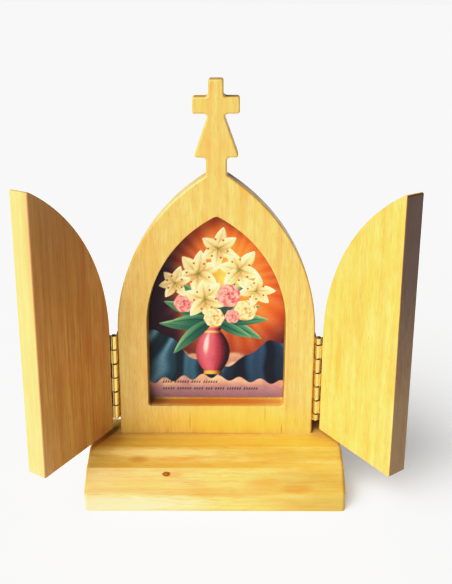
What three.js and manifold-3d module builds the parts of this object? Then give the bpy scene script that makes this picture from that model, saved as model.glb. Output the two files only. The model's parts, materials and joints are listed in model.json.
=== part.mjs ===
// A small triptych altarpiece in pine. A pointed arch with a cross on top stands on a sloped base,
// a picture card sits in a pocket routed into the arch, and two half-arch doors swing on lengths of
// brass continuous hinge. Millimetres, +X right, +Y back, +Z up, seen from the front. The origin is
// the middle of the base's underside. Heights named below the base's own are measured from its ledge.

import * as THREE from 'three';
import { mergeVertices } from 'three/addons/utils/BufferGeometryUtils.js';
import Module from 'manifold-3d';

const wasm = await Module();
wasm.setup();

// Base block
const baseWidth = 192;
const baseDepth = 68;
const baseHeight = 34.5;
const frontFaceHeight = 14.5;
const lowerFacetRise = 13;
const lowerFacetAngle = 45;
const upperFacetRise = 7;
const upperFacetAngle = 22.5;
const baseEasing = 3;

// Arched board
const boardThickness = 15;
const boardWidth = 150;
const boardSetback = 48.2;
const archSpringing = 85.4;
const archRadius = 144.7;
const edgeEasing = 1.6;

// Cross and flared foot, sawn from the same board
const neckHalfWidth = 7.3;
const neckTop = 220.8;
const flareHalfWidth = 15.7;
const waistHalfWidth = 5.8;
const armHalfSpan = 16.3;
const armUnderside = 252.3;
const armTop = 264.2;
const stemHalfWidth = 4.8;
const stemTop = 276;
const finialLean = 0.6;
const outerCornerRadius = 1.8;
const innerCornerRadius = 2.4;

// Pocket and the card in it
const pocketDepth = 12;
const pocketHalfWidth = 52.7;
const pocketSill = 24.6;
const pocketSpringing = 90.5;
const pocketRadius = 98;
const pocketApexRadius = 4;
const pocketCornerRadius = 5.5;
const cardThickness = 0.8;
const cardClearance = 0.5;
const glueLine = 0.1;

// Doors, and how far each is opened from shut
const doorThickness = 15;
const doorFoot = 5.4;
const doorTopDrop = 0.7;
const meetingGap = 1;
const leftDoorAngle = 120.7;
const rightDoorAngle = 124.8;

// Hinges: the pin's place off the board, the leaves, and the knuckles
const pinOffset = 2.5;
const pinForward = 1.2;
const barrelRadius = 2;
const boreRadius = 1.25;
const pinRadius = 1;
const leafThickness = 0.8;
const leafReach = 12;
const notchReach = 2.3;
const knucklePitch = 11.7;
const knuckleGap = 0.3;
const leftHingeFoot = 13.8;
const rightHingeFoot = 12.8;
const doorPacking = 0.3;

// Screws
const screwHeadRadius = 1.7;
const screwShankRadius = 0.8;
const screwLength = 9;
const screwClearance = 0.2;
const screwReach = 7.2;
const screwPitch = 23.4;

// Places that follow from these
const frontY = boardSetback - baseDepth / 2;
const pocketFloorY = frontY + pocketDepth;
const archCentreX = archRadius - boardWidth / 2;
const pocketCentreX = pocketRadius - pocketHalfWidth;
const pinX = boardWidth / 2 + pinOffset;
const pinY = frontY - pinForward;
const hingeLength = 6 * knucklePitch;

const pine = { color: 0xe6bd62, roughness: 0.42, metalness: 0 };
const print = { color: 0xb98a5a, roughness: 0.3, metalness: 0 };
const brass = { color: 0xc9a24a, roughness: 0.35, metalness: 1 };
const steel = { color: 0x9a9a96, roughness: 0.4, metalness: 1 };

// The two wings. The right hinge was cut from its strip in the middle of a knuckle.
const wings = [
  { name: 'left', side: -1, angle: leftDoorAngle, foot: leftHingeFoot, topKnuckle: knucklePitch },
  { name: 'right', side: 1, angle: rightDoorAngle, foot: rightHingeFoot, topKnuckle: knucklePitch / 2 },
];

const toRadians = THREE.MathUtils.degToRad;
const toDegrees = THREE.MathUtils.radToDeg;

function point(x, y) {
  return new THREE.Vector2(x, y);
}

function acrossMiddle(points) {
  return points.map((at) => point(-at.x, at.y)).reverse();
}

// Points along an arc between two angles in degrees, both ends included
function arc(centreX, centreY, radius, from, to, steps) {
  const points = [];
  for (let i = 0; i <= steps; i++) {
    const angle = toRadians(from + ((to - from) * i) / steps);
    points.push(point(centreX + radius * Math.cos(angle), centreY + radius * Math.sin(angle)));
  }
  return points;
}

// The arc that rounds a corner between two straight runs
function roundedCorner(before, corner, after, radius) {
  const steps = 3;
  const back = before.clone().sub(corner).normalize();
  const ahead = after.clone().sub(corner).normalize();
  const halfAngle = Math.acos(back.dot(ahead)) / 2;
  const middle = back.clone().add(ahead).normalize();
  const centre = corner.clone().addScaledVector(middle, radius / Math.sin(halfAngle));
  const start = corner.clone().addScaledVector(back, radius / Math.tan(halfAngle));
  const turn = -Math.sign(back.cross(ahead)) * (Math.PI - 2 * halfAngle);
  const points = [];
  for (let i = 0; i <= steps; i++) {
    points.push(start.clone().rotateAround(centre, (turn * i) / steps));
  }
  return points;
}

// The cross and its flared foot, anticlockwise from the right side of the neck to the left. The
// whole of it leans a little to the left.
function finialOutline(neckFoot) {
  const corners = [
    [neckHalfWidth, neckTop, innerCornerRadius],
    [flareHalfWidth, neckTop, outerCornerRadius],
    [waistHalfWidth, armUnderside, innerCornerRadius],
    [armHalfSpan, armUnderside, outerCornerRadius],
    [armHalfSpan, armTop, outerCornerRadius],
    [stemHalfWidth, armTop, innerCornerRadius],
    [stemHalfWidth, stemTop, outerCornerRadius],
  ];
  const stations = [neckFoot, ...corners.map(([x, y]) => point(x, y)), point(0, stemTop)];
  const right = corners.flatMap((corner, i) => {
    return roundedCorner(stations[i], stations[i + 1], stations[i + 2], corner[2]);
  });
  const pivot = point(0, neckFoot.y);
  return [...right, ...acrossMiddle(right)].map((at) => at.rotateAround(pivot, toRadians(finialLean)));
}

// The outline of the arched board, anticlockwise. It runs on below the ledge, to be cut off square.
function boardOutline() {
  const rise = Math.sqrt(archRadius ** 2 - (archCentreX + neckHalfWidth) ** 2);
  const neckAngle = toDegrees(Math.atan2(rise, archCentreX + neckHalfWidth));
  const foot = point(boardWidth / 2, -2 * edgeEasing);
  const curve = arc(-archCentreX, archSpringing, archRadius, 0, neckAngle, 18);
  const side = [foot, ...curve];
  return [...side, ...finialOutline(curve[curve.length - 1]), ...acrossMiddle(side)];
}

// The right door when shut: half of the arch, short of the middle and of the hinge leaf
function doorOutline() {
  const meetingX = meetingGap / 2;
  const centreX = -archCentreX - doorPacking;
  const centreY = archSpringing - doorTopDrop;
  const topAngle = toDegrees(Math.acos((meetingX - centreX) / archRadius));
  const curve = arc(centreX, centreY, archRadius, 0, topAngle, 18);
  return [point(meetingX, doorFoot), point(boardWidth / 2 - doorPacking, doorFoot), ...curve];
}

// The outline of the pocket, anticlockwise, grown outwards on every side
function pocketOutline(grow) {
  const cornerX = pocketHalfWidth - pocketCornerRadius;
  const cornerY = pocketSill + pocketCornerRadius;
  const rise = Math.sqrt((pocketRadius - pocketApexRadius) ** 2 - pocketCentreX ** 2);
  const apexAngle = toDegrees(Math.atan2(rise, pocketCentreX));
  const apexY = pocketSpringing + rise;
  const right = [
    ...arc(cornerX, cornerY, pocketCornerRadius + grow, -90, 0, 4),
    ...arc(-pocketCentreX, pocketSpringing, pocketRadius + grow, 0, apexAngle, 14),
  ];
  const apex = arc(0, apexY, pocketApexRadius + grow, apexAngle, 180 - apexAngle, 4).slice(1, -1);
  return [...right, ...apex, ...acrossMiddle(right)];
}

// A flat outline as a slab between two depths, with its edges eased
function slab(outline, nearY, farY, easing) {
  const geometry = new THREE.ExtrudeGeometry(new THREE.Shape(outline), {
    depth: farY - nearY - 2 * easing,
    bevelEnabled: easing > 0,
    bevelThickness: easing,
    bevelSize: easing,
    bevelOffset: -easing,
    bevelSegments: 2,
  });
  geometry.translate(0, 0, easing - farY);
  geometry.rotateX(Math.PI / 2);
  return geometry;
}

// A closed skin over rings of as many points each, nearest ring first, every ring anticlockwise
function loft(rings) {
  const count = rings[0].points.length;
  const last = (rings.length - 1) * count;
  const positions = [];
  const index = [];
  for (const ring of rings) {
    for (const at of ring.points) {
      positions.push(at.x, ring.depth, at.y);
    }
  }
  for (let start = 0; start < last; start += count) {
    for (let i = 0; i < count; i++) {
      const near = start + i;
      const next = start + ((i + 1) % count);
      index.push(near, near + count, next);
      index.push(next, near + count, next + count);
    }
  }
  for (const [a, b, c] of THREE.ShapeUtils.triangulateShape(rings[0].points, [])) {
    index.push(a, b, c);
  }
  for (const [a, b, c] of THREE.ShapeUtils.triangulateShape(rings[rings.length - 1].points, [])) {
    index.push(last + a, last + c, last + b);
  }
  const geometry = new THREE.BufferGeometry();
  geometry.setAttribute('position', new THREE.Float32BufferAttribute(positions, 3));
  geometry.setIndex(index);
  return geometry;
}

function box(x, y, z) {
  const geometry = new THREE.BoxGeometry(Math.abs(x[1] - x[0]), Math.abs(y[1] - y[0]), z[1] - z[0]);
  geometry.translate((x[0] + x[1]) / 2, (y[0] + y[1]) / 2, (z[0] + z[1]) / 2);
  return geometry;
}

// A round piece about +Z through the origin, from its half section
function turned(section, sides) {
  const geometry = new THREE.LatheGeometry(section.map(([radius, height]) => point(radius, height)), sides);
  geometry.rotateX(Math.PI / 2);
  return geometry;
}

function solidOf(geometry) {
  const bare = geometry.clone();
  bare.deleteAttribute('normal');
  bare.deleteAttribute('uv');
  const merged = mergeVertices(bare, 1e-4);
  return new wasm.Manifold(new wasm.Mesh({
    numProp: 3,
    vertProperties: merged.attributes.position.array,
    triVerts: new Uint32Array(merged.index.array),
  }));
}

function geometryOf(solid) {
  const mesh = solid.getMesh();
  const geometry = new THREE.BufferGeometry();
  geometry.setAttribute('position', new THREE.BufferAttribute(mesh.vertProperties, 3));
  geometry.setIndex(new THREE.BufferAttribute(mesh.triVerts, 1));
  return geometry;
}

function piece(name, geometry, look) {
  const mesh = new THREE.Mesh(geometry, new THREE.MeshStandardMaterial(look));
  mesh.name = name;
  return mesh;
}

// The base runs one end profile across its whole width, and its ends are eased
function makeBase() {
  const front = -baseDepth / 2;
  const back = baseDepth / 2;
  const facetTop = frontFaceHeight + lowerFacetRise;
  const facetBack = front + lowerFacetRise / Math.tan(toRadians(lowerFacetAngle));
  const ledgeFront = facetBack + upperFacetRise / Math.tan(toRadians(upperFacetAngle));
  const profile = [
    point(front, 0),
    point(back, 0),
    point(back, baseHeight),
    point(ledgeFront, baseHeight),
    point(facetBack, facetTop),
    point(front, frontFaceHeight),
  ];
  const geometry = new THREE.ExtrudeGeometry(new THREE.Shape(profile), {
    depth: baseWidth - 2 * baseEasing,
    bevelThickness: baseEasing,
    bevelSize: baseEasing,
    bevelOffset: -baseEasing,
    bevelSegments: 3,
  });
  geometry.translate(0, 0, baseEasing - baseWidth / 2);
  geometry.rotateY(Math.PI / 2);
  geometry.rotateX(Math.PI / 2);
  return piece('base', geometry, pine);
}

// What the router takes out: the pocket, and the rounding of its front edge
function pocketCutter() {
  const steps = 3;
  const rings = [{ depth: frontY - 1, points: pocketOutline(edgeEasing) }];
  for (let i = 0; i <= steps; i++) {
    const angle = toRadians((90 * i) / steps);
    const depth = frontY + edgeEasing * (1 - Math.cos(angle));
    rings.push({ depth, points: pocketOutline(edgeEasing * (1 - Math.sin(angle))) });
  }
  rings.push({ depth: pocketFloorY, points: pocketOutline(0) });
  return solidOf(loft(rings));
}

// A flat-headed wood screw or, with some clearance, its hole. The head's face is at the origin of
// its own frame, and the screw runs towards the middle of the altarpiece.
function screwGeometry(wing, clearance) {
  const head = screwHeadRadius + clearance;
  const shank = screwShankRadius + clearance;
  const tip = screwLength + clearance;
  const geometry = turned([
    [0, -clearance],
    [head, -clearance],
    [shank, leafThickness],
    [shank, tip - shank],
    [0, tip],
  ], 12);
  geometry.rotateY(-wing.side * (Math.PI / 2));
  return geometry;
}

// A leaf lies behind its pin on the board, where towards is 1, and in front of its pin on a shut
// door, where towards is -1.
function carrier(towards) {
  return towards > 0 ? 'frame' : 'door';
}

// Where the three screws of a leaf sit, in the pin's frame
function screwPlaces(wing, towards) {
  const face = -wing.side * (pinOffset - leafThickness);
  const middle = baseHeight + wing.foot + hingeLength / 2;
  return [-screwPitch, 0, screwPitch].map((step) => [face, towards * screwReach, middle + step]);
}

function screwHoles(wing, towards) {
  const holes = screwPlaces(wing, towards).map((place) => {
    return solidOf(screwGeometry(wing, screwClearance).translate(...place));
  });
  return holes.reduce((all, hole) => all.add(hole));
}

// The arched board with its cross, its pocket and the pilot holes in its sides
function makeBoard() {
  const below = box([-boardWidth, boardWidth], [frontY - 1, frontY + boardThickness + 1], [-10, 0]);
  let board = solidOf(slab(boardOutline(), frontY, frontY + boardThickness, edgeEasing));
  board = board.subtract(solidOf(below)).subtract(pocketCutter());
  for (const wing of wings) {
    board = board.subtract(screwHoles(wing, 1).translate(wing.side * pinX, pinY, -baseHeight));
  }
  const geometry = geometryOf(board);
  geometry.translate(0, 0, baseHeight);
  return piece('arched_board', geometry, pine);
}

// The card stands in the pocket, glued to its floor
function makeCard() {
  const back = pocketFloorY - glueLine;
  const geometry = slab(pocketOutline(-cardClearance), back - cardThickness, back, 0);
  geometry.translate(0, 0, baseHeight);
  return piece('picture_card', geometry, print);
}

// A door in its pin's frame, shut
function makeDoor(wing) {
  const outline = wing.side > 0 ? doorOutline() : acrossMiddle(doorOutline());
  const insideY = frontY - 2 * pinForward;
  const geometry = slab(outline, insideY - doorThickness, insideY, edgeEasing);
  geometry.translate(-wing.side * pinX, -pinY, baseHeight);
  const door = solidOf(geometry).subtract(screwHoles(wing, -1));
  return piece(`${wing.name}_door`, geometryOf(door), pine);
}

// Heights of the knuckles from the top of the hinge down. The board's leaf has the first of them,
// the door's leaf the second, and so on in turn.
function knuckleSpans(wing) {
  const foot = baseHeight + wing.foot;
  const spans = [];
  let top = foot + hingeLength;
  let length = wing.topKnuckle;
  while (top - foot > knuckleGap) {
    const bottom = Math.max(top - length, foot);
    spans.push([bottom + knuckleGap / 2, top - knuckleGap / 2]);
    top = bottom;
    length = knucklePitch;
  }
  return spans;
}

// One leaf with its share of the knuckles, in the pin's frame
function makeLeaf(wing, towards) {
  const foot = baseHeight + wing.foot;
  const across = [-wing.side * pinOffset, -wing.side * (pinOffset - leafThickness)];
  const firstKnuckle = towards > 0 ? 0 : 1;
  let leaf = solidOf(box(across, [towards * notchReach, towards * leafReach], [foot, foot + hingeLength]));
  knuckleSpans(wing).forEach(([bottom, top], i) => {
    if (i % 2 === firstKnuckle) {
      const barrel = turned([
        [boreRadius, bottom],
        [barrelRadius, bottom],
        [barrelRadius, top],
        [boreRadius, top],
        [boreRadius, bottom],
      ], 16);
      const tab = box(across, [0, towards * (notchReach + leafThickness)], [bottom, top]);
      leaf = leaf.add(solidOf(barrel)).add(solidOf(tab));
    }
  });
  leaf = leaf.subtract(screwHoles(wing, towards));
  return piece(`${wing.name}_hinge_${carrier(towards)}_leaf`, geometryOf(leaf), brass);
}

function makeScrews(wing, towards) {
  return screwPlaces(wing, towards).map((place, i) => {
    const geometry = screwGeometry(wing, 0).translate(...place);
    return piece(`${wing.name}_${carrier(towards)}_screw_${i + 1}`, geometry, brass);
  });
}

function makePin(wing) {
  const foot = baseHeight + wing.foot;
  const section = [[0, foot], [pinRadius, foot], [pinRadius, foot + hingeLength], [0, foot + hingeLength]];
  return piece(`${wing.name}_hinge_pin`, turned(section, 16), steel);
}

const altarpiece = new THREE.Group();
altarpiece.add(makeBase(), makeBoard(), makeCard());

for (const wing of wings) {
  const fixed = new THREE.Group();
  fixed.position.set(wing.side * pinX, pinY, 0);
  fixed.add(makeLeaf(wing, 1), makePin(wing), ...makeScrews(wing, 1));

  const swinging = new THREE.Group();
  swinging.position.copy(fixed.position);
  swinging.rotation.z = wing.side * toRadians(wing.angle);
  swinging.add(makeDoor(wing), makeLeaf(wing, -1), ...makeScrews(wing, -1));

  altarpiece.add(fixed, swinging);
}

export default altarpiece;
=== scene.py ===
"""Looks of a small pine triptych altarpiece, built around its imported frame.

Every board, card, hinge leaf, pin and screw is made again as a finer mesh where the frame has it, and
rides on the frame's body. Lengths are in metres, patterns in millimetres.
"""

import json
import math

import bpy
import numpy as np
from bpy.props import FloatProperty, FloatVectorProperty, PointerProperty
from mathutils import Matrix, Vector
from mathutils.geometry import delaunay_2d_cdt


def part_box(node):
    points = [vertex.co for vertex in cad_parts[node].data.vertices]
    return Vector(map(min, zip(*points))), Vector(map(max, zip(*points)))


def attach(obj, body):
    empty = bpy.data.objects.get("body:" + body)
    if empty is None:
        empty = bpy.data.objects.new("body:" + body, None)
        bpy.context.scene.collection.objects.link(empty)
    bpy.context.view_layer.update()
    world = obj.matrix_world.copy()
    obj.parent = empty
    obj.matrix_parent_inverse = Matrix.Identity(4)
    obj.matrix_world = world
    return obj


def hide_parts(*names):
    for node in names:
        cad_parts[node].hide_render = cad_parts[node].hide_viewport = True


bl_info = {
    "name": "Pine Triptych Altarpiece",
    "version": (1, 0, 0),
    "blender": (4, 5, 0),
    "location": "3D View > Sidebar > Triptych",
    "description": "Dresses the frame of a small hinged altarpiece in varnished pine, brass and print",
    "category": "Add Mesh",
}

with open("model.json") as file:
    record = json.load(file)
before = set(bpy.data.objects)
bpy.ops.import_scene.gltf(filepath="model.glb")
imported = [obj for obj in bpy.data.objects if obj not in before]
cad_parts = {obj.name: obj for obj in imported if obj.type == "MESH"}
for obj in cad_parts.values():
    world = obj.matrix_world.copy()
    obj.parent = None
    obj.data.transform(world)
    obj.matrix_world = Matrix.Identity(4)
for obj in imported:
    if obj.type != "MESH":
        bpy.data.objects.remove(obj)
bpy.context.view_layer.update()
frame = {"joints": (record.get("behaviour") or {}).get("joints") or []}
BASE_LOW, BASE_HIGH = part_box("base")
BOARD_LOW, BOARD_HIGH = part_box("arched_board")
CARD_LOW, CARD_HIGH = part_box("picture_card")
LEDGE = BOARD_LOW.z
FRONT = BOARD_LOW.y
JOINTS = {joint["name"]: joint for joint in frame["joints"]}
SIDES = {"left": -1, "right": 1}

MM = 0.001
TO_MM = 1000.0
# The smallest radius or step of an outline
HAIR = 0.02 * MM
ROUNDING_STEPS = 7
CORNER_STEPS = 6
ARCH_STEPS = 48
# Squares of the card's front, under half a millimetre a side
CARD_ROWS, CARD_COLUMNS = 378, 232
# Radii where a screw goes through a leaf, on the wood's side and on its head's
SCREW_HOLE, COUNTERSINK = 1.0 * MM, 1.9 * MM
SCREWS_A_LEAF = 3
# How far the worn ends of a knuckle stand in
KNUCKLE_WEAR = 0.12 * MM
# Strength of the streaks on a door's faces that aren't its inner one
PLAIN_FIGURE = 0.45
BARE_CARD = "#D8D2C4"
WHITE = (1, 1, 1, 1)

# Points of the film's curve: scene light and the light that is shown
FILM = (
    (0.1, 0.066),
    (0.2, 0.150),
    (0.35, 0.290),
    (0.5, 0.440),
    (0.7, 0.650),
    (0.85, 0.800),
    (1.0, 0.900),
    (1.3, 0.960),
    (1.6, 0.984),
)

# Paler and darker wood, resin, and painted light and shade: centre and half sizes in mm along the grain's
# directions, colour, strength. The base's directions are back, up and along it, and the others' are across,
# through and up. A strength above 1 marks a knot, with a crisp edge.
BASE_SPOTS = (
    # Painted sheen on the pale left end, painted shade on the dull right end, of the front face and facets
    ((-34, 6, -75), (3.5, 9, 75), "#EECFAC", 0.65),
    ((-34, 6, 95), (3.5, 10, 60), "#9C8A2C", 0.5),
    ((-28, 20, -90), (9, 8, 58), "#DAB252", 0.35),
    ((-27, 21, 90), (9, 9, 70), "#9E8420", 0.55),
    # Painted light and shade: darker at the steep facet's foot, paler atop the flatter one, darker at its
    # right
    ((-32.6, 16.2, 0), (2.6, 2.6, 150), "#BE9436", 0.5),
    ((-9, 32.5, -45), (5, 3, 50), "#F0D48C", 0.65),
    ((-10, 32, 80), (7, 3, 50), "#A88A22", 0.5),
    # A deeper gold along the ledge, painted as light bounced onto it from the wood above
    ((2, 34.5, 0), (9, 3, 150), "#DDB42C", 0.45),
    # Painted shade at the ledge's left end, under the left door
    ((4, 34.5, -92), (12, 4, 22), "#B4621A", 0.45),
    # Painted shade at the foot of the flatter facet
    ((-19.4, 28.2, -20), (3.5, 2, 130), "#C4962A", 0.5),
    # Painted shade in the crease along the foot of the arched board
    ((TO_MM * FRONT, TO_MM * LEDGE, 0), (0.5, 2, 63), "#5E3810", 0.8),
    # The knot, with resin beside it and a paler heart
    ((-24.3, 24.2, -30.5), (2.2, 2.2, 8.0), "#C88A20", 0.6),
    ((-24.1, 24.4, -36.2), (1.7, 1.7, 2.7), "#8A5200", 2.5),
    ((-24.1, 24.4, -36.6), (0.6, 0.6, 1.1), "#A86C10", 0.9),
    # Patches of resin
    ((-29.4, 19.1, 33.1), (5.0, 5.0, 14.0), "#C0881E", 0.45),
    ((-31.3, 17.2, 58.7), (3.5, 3.5, 13.0), "#B47C18", 0.5),
    ((-32.8, 15.7, -7.3), (4.0, 4.0, 14.0), "#CC9230", 0.4),
    ((-14.5, 30.2, -58), (3.2, 2.6, 8.0), "#BC7A1E", 0.5),
)
LEFT_DOOR_SPOTS = (
    # Painted shade over the top of the inner face, and painted light on its meeting edge
    ((-30, -4, 225), (60, 4, 75), "#8E5C2E", 0.5),
    ((-0.5, 0, 120), (1.2, 400, 400), "#E0B46A", 0.45),
)
RIGHT_DOOR_SPOTS = (
    # Painted shade over the upper part of the free edge
    ((0.5, -12, 262), (0.6, 400, 150), "#6C4226", 0.85),
)
BOARD_SPOTS = (
    # Warmer yellow under the pocket, deep orange along its sill, and painted shade on the sill's left end
    ((12, 0, 46), (62, 8, 15), "#EBBE3E", 0.55),
    ((0, 7.5, 58), (62, 6, 2.4), "#C47206", 0.85),
    ((-50, 8, 58), (14, 6, 3), "#6E3808", 0.6),
    # Painted shade over the edges of the arch's right half and of the cross
    ((45, 8, 190), (62, 4.5, 75), "#8C6650", 0.6),
    ((8, 8, 250), (14, 4.5, 60), "#8A5C34", 0.65),
    # Three fine resin streaks
    ((-20.6, 0, 45), (0.35, 6, 10), "#A06A1C", 0.75),
    ((38, 0, 52), (0.4, 6, 9), "#A8701E", 0.6),
    ((51, 0, 37), (0.3, 6, 6), "#80501A", 0.75),
)


# ---------------------------------------------------------------- properties


def linear(code):
    """The linear colour of an sRGB hex code."""
    parts = [int(code[i : i + 2], 16) / 255 for i in (1, 3, 5)]
    return tuple(c / 12.92 if c <= 0.04045 else ((c + 0.055) / 1.055) ** 2.4 for c in parts)


def length(name, description, default):
    """A length that a user may change."""
    return FloatProperty(name=name, description=description, default=default, unit="LENGTH", precision=5)


def angle(name, description, degrees):
    """An angle that a user may change, given in degrees."""
    return FloatProperty(name=name, description=description, default=math.radians(degrees), subtype="ANGLE")


def colour(name, description, code):
    """A colour that a user may change, given as sRGB hex."""
    return FloatVectorProperty(
        name=name, description=description, default=linear(code), subtype="COLOR", min=0, max=1
    )


class TriptychBase(bpy.types.PropertyGroup):
    """The block that the altarpiece stands on"""

    front_face: length("Front face", "Height of the upright front face", 14.5 * MM)
    lower_rise: length("Lower facet", "Height of the steep facet above the front face", 13 * MM)
    lower_run: length("Lower facet run", "How far the steep facet goes back", 13 * MM)
    upper_run: length("Upper facet run", "How far the flatter facet goes back", 16.9 * MM)
    end_easing: length("End easing", "Radius of the rounded ends", 2.8 * MM)
    ridge_easing: length("Ridge easing", "Radius of the long edges", 0.7 * MM)


class TriptychBoard(bpy.types.PropertyGroup):
    """The arched board with its cross"""

    springing: length("Springing", "Height above the ledge where the arch starts", 85.4 * MM)
    arch_radius: length("Arch radius", "Radius of either side of the arch", 144.7 * MM)
    easing: length("Edge easing", "Radius of the rounded edges", 1.6 * MM)
    neck_half: length("Neck", "Half the width of the neck under the cross", 7.6 * MM)
    neck_top: length("Neck top", "Height of the neck above the ledge", 220.8 * MM)
    flare_half: length("Flare", "Half the width of the flared foot", 16.5 * MM)
    waist_half: length("Waist", "Half the width under the arms", 5.5 * MM)
    arm_half: length("Arms", "Half the span of the arms", 17 * MM)
    arm_under: length("Arm underside", "Height of the underside of the arms", 252.3 * MM)
    arm_top: length("Arm top", "Height of the top of the arms", 264.2 * MM)
    stem_half: length("Stem", "Half the width of the stem", 5.5 * MM)
    stem_top: length("Stem top", "Height of the top of the cross", 276.6 * MM)
    lean: angle("Lean", "Lean of the cross to the left", 0.6)


class TriptychPocket(bpy.types.PropertyGroup):
    """The pocket routed into the arched board"""

    half: length("Half width", "Half the width of the pocket", 52.7 * MM)
    sill: length("Sill", "Height of the pocket's sill above the ledge", 23.3 * MM)
    springing: length("Springing", "Height above the ledge where its arch starts", 90.5 * MM)
    radius: length("Arch radius", "Radius of either side of its arch", 98 * MM)
    apex_radius: length("Apex radius", "Radius at its point", 4 * MM)
    corner_radius: length("Corner radius", "Radius of its lower corners", 2.8 * MM)
    mouth_easing: length("Mouth easing", "Radius of the edge round its mouth", 0.7 * MM)
    depth: length("Depth", "Depth of the pocket", 12 * MM)
    floor_easing: length("Floor fillet", "Radius that the cutter leaves at the floor", 0.6 * MM)
    card_clearance: length("Card clearance", "Gap round the card", 0.5 * MM)


class TriptychDoors(bpy.types.PropertyGroup):
    """The two half-arch doors, as they are when shut"""

    thickness: length("Thickness", "Thickness of a door", 16 * MM)
    left_radius: length("Left arch radius", "Radius of the left door's arch", 148 * MM)
    right_radius: length("Right arch radius", "Radius of the right door's arch", 146 * MM)
    foot: length("Foot", "Height of the doors' feet above the ledge", 5.4 * MM)
    top_drop: length("Top drop", "How far the doors' arch sits below the board's", 0.7 * MM)
    meeting_gap: length("Meeting gap", "Gap between the shut doors", 1 * MM)
    packing: length("Packing", "Gap between a door and its hinge leaf", 0.3 * MM)
    corner: length("Corner radius", "Radius of the doors' corners, seen from the front", 1.4 * MM)
    easing: length("Edge easing", "Radius of the rounded edges", 0.9 * MM)


class TriptychHinges(bpy.types.PropertyGroup):
    """The two lengths of continuous hinge"""

    leaf: length("Leaf thickness", "Thickness of the brass sheet", 0.8 * MM)
    reach: length("Leaf reach", "How far a leaf reaches from the pin", 12 * MM)
    notch: length("Notch reach", "Where the notches between the knuckles end", 1.2 * MM)
    barrel: length("Barrel radius", "Outer radius of the knuckles", 2 * MM)
    pin: length("Pin radius", "Radius of the pin", 1 * MM)
    offset: length("Pin offset", "Distance of the pin from the board's side", 2.5 * MM)
    pitch: length("Knuckle pitch", "Length of a knuckle with its gap", 11.7 * MM)
    gap: length("Knuckle gap", "Gap between two knuckles", 0.3 * MM)
    left_knuckle: length("Left top knuckle", "Length of the left hinge's top knuckle", 11.7 * MM)
    right_knuckle: length("Right top knuckle", "Length of the right hinge's top knuckle", 5.85 * MM)
    screw_head: length("Screw head", "Radius of a screw's head", 1.7 * MM)
    screw_shank: length("Screw shank", "Radius of a screw's shank", 0.8 * MM)
    screw_length: length("Screw length", "Length of a screw", 9 * MM)
    screw_reach: length("Screw reach", "Distance of the screws from the pin", 7.2 * MM)
    screw_pitch: length("Screw pitch", "Distance between two screws", 23.4 * MM)


class TriptychFinish(bpy.types.PropertyGroup):
    """Colours of the finishes, and of the shade painted over the doors"""

    pine_pale: colour("Earlywood", "Pale wood between the rings, under varnish", "#D6B45A")
    pine_light: colour("Light streaks", "The palest streaks of a board", "#E0C77C")
    pine_ring: colour("Latewood", "Darker streaks and growth rings", "#BC7A30")
    pine_amber: colour("Amber", "Resin, and varnish gathered above an edge", "#D68C2A")
    pine_fleck: colour("Flecks", "Short resin canals", "#6E3F1C")
    # Painted shade over the free edge of the right door, which faces away from the light
    pine_edge_shade: colour("Edge shade", "Brown tone over the free edge of the right door", "#A6978D")
    # Painted shade over the inner face of the left door, which faces away from the light
    pine_face_shade: colour("Face shade", "Tone of the inner face of the left door", "#EBD9D5")
    brass: colour("Brass", "Rolled hinge brass", "#F0DA90")
    tarnish: colour("Tarnish", "Brown tarnish in the joints of the hinge", "#5A3C1C")
    steel: colour("Steel", "Drawn hinge pin", "#8E8A84")
    floor: colour("Floor", "Floor of the stage", "#D8D8D7")
    floor_glow: FloatProperty(
        name="Floor glow", description="Light that comes through the floor", default=0.4
    )


class TriptychStage(bpy.types.PropertyGroup):
    """Camera and studio light"""

    camera_x: length("Camera X", "Place of the camera to the right", 10.5 * MM)
    camera_y: length("Camera Y", "Place of the camera to the back", -507.3 * MM)
    camera_z: length("Camera Z", "Height of the camera", 367.0 * MM)
    pitch: angle("Pitch", "How far down it looks", 14.55)
    yaw: angle("Yaw", "How far right it looks", 0.46)
    roll: angle("Roll", "Roll of the camera", 0.46)
    lens: FloatProperty(name="Lens", description="Focal length in mm", default=46.12)
    shift_x: FloatProperty(name="Shift X", description="Sideways shift of the lens", default=-0.0187)
    shift_y: FloatProperty(name="Shift Y", description="Upward shift of the lens", default=-0.1741)
    key: FloatProperty(name="Key", description="Strength of the key light, W/m2", default=5.45)
    key_bearing: angle("Key bearing", "Where the key stands, from the front to the right", -46)
    key_height: angle("Key height", "How high the key stands", 38)
    key_width: angle("Key width", "Width of the soft box", 58)
    wall: FloatProperty(name="Wall", description="Brightness of the studio's pale wall", default=1.05)
    ceiling: FloatProperty(name="Ceiling", description="Brightness of the studio's ceiling", default=0.03)


class TriptychSettings(bpy.types.PropertyGroup):
    """Everything that the operators read"""

    base: PointerProperty(type=TriptychBase)
    board: PointerProperty(type=TriptychBoard)
    pocket: PointerProperty(type=TriptychPocket)
    doors: PointerProperty(type=TriptychDoors)
    hinges: PointerProperty(type=TriptychHinges)
    finish: PointerProperty(type=TriptychFinish)
    stage: PointerProperty(type=TriptychStage)


# ---------------------------------------------------------------- outlines


def arc(centre, radius, start, end, steps):
    """Points along an arc between two angles in degrees, both ends included."""
    angles = np.radians(np.linspace(start, end, steps + 1))
    return np.asarray(centre) + radius * np.column_stack((np.cos(angles), np.sin(angles)))


def steps_over(distance, spacing=3 * MM):
    """How many even steps of about a spacing go into a distance."""
    return max(1, round(float(distance) / spacing))


def between(start, end, steps):
    """Points on a straight run between its ends, both left out."""
    start, end = np.asarray(start, float), np.asarray(end, float)
    return start + (end - start) * (np.arange(1, steps) / steps)[:, None]


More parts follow.
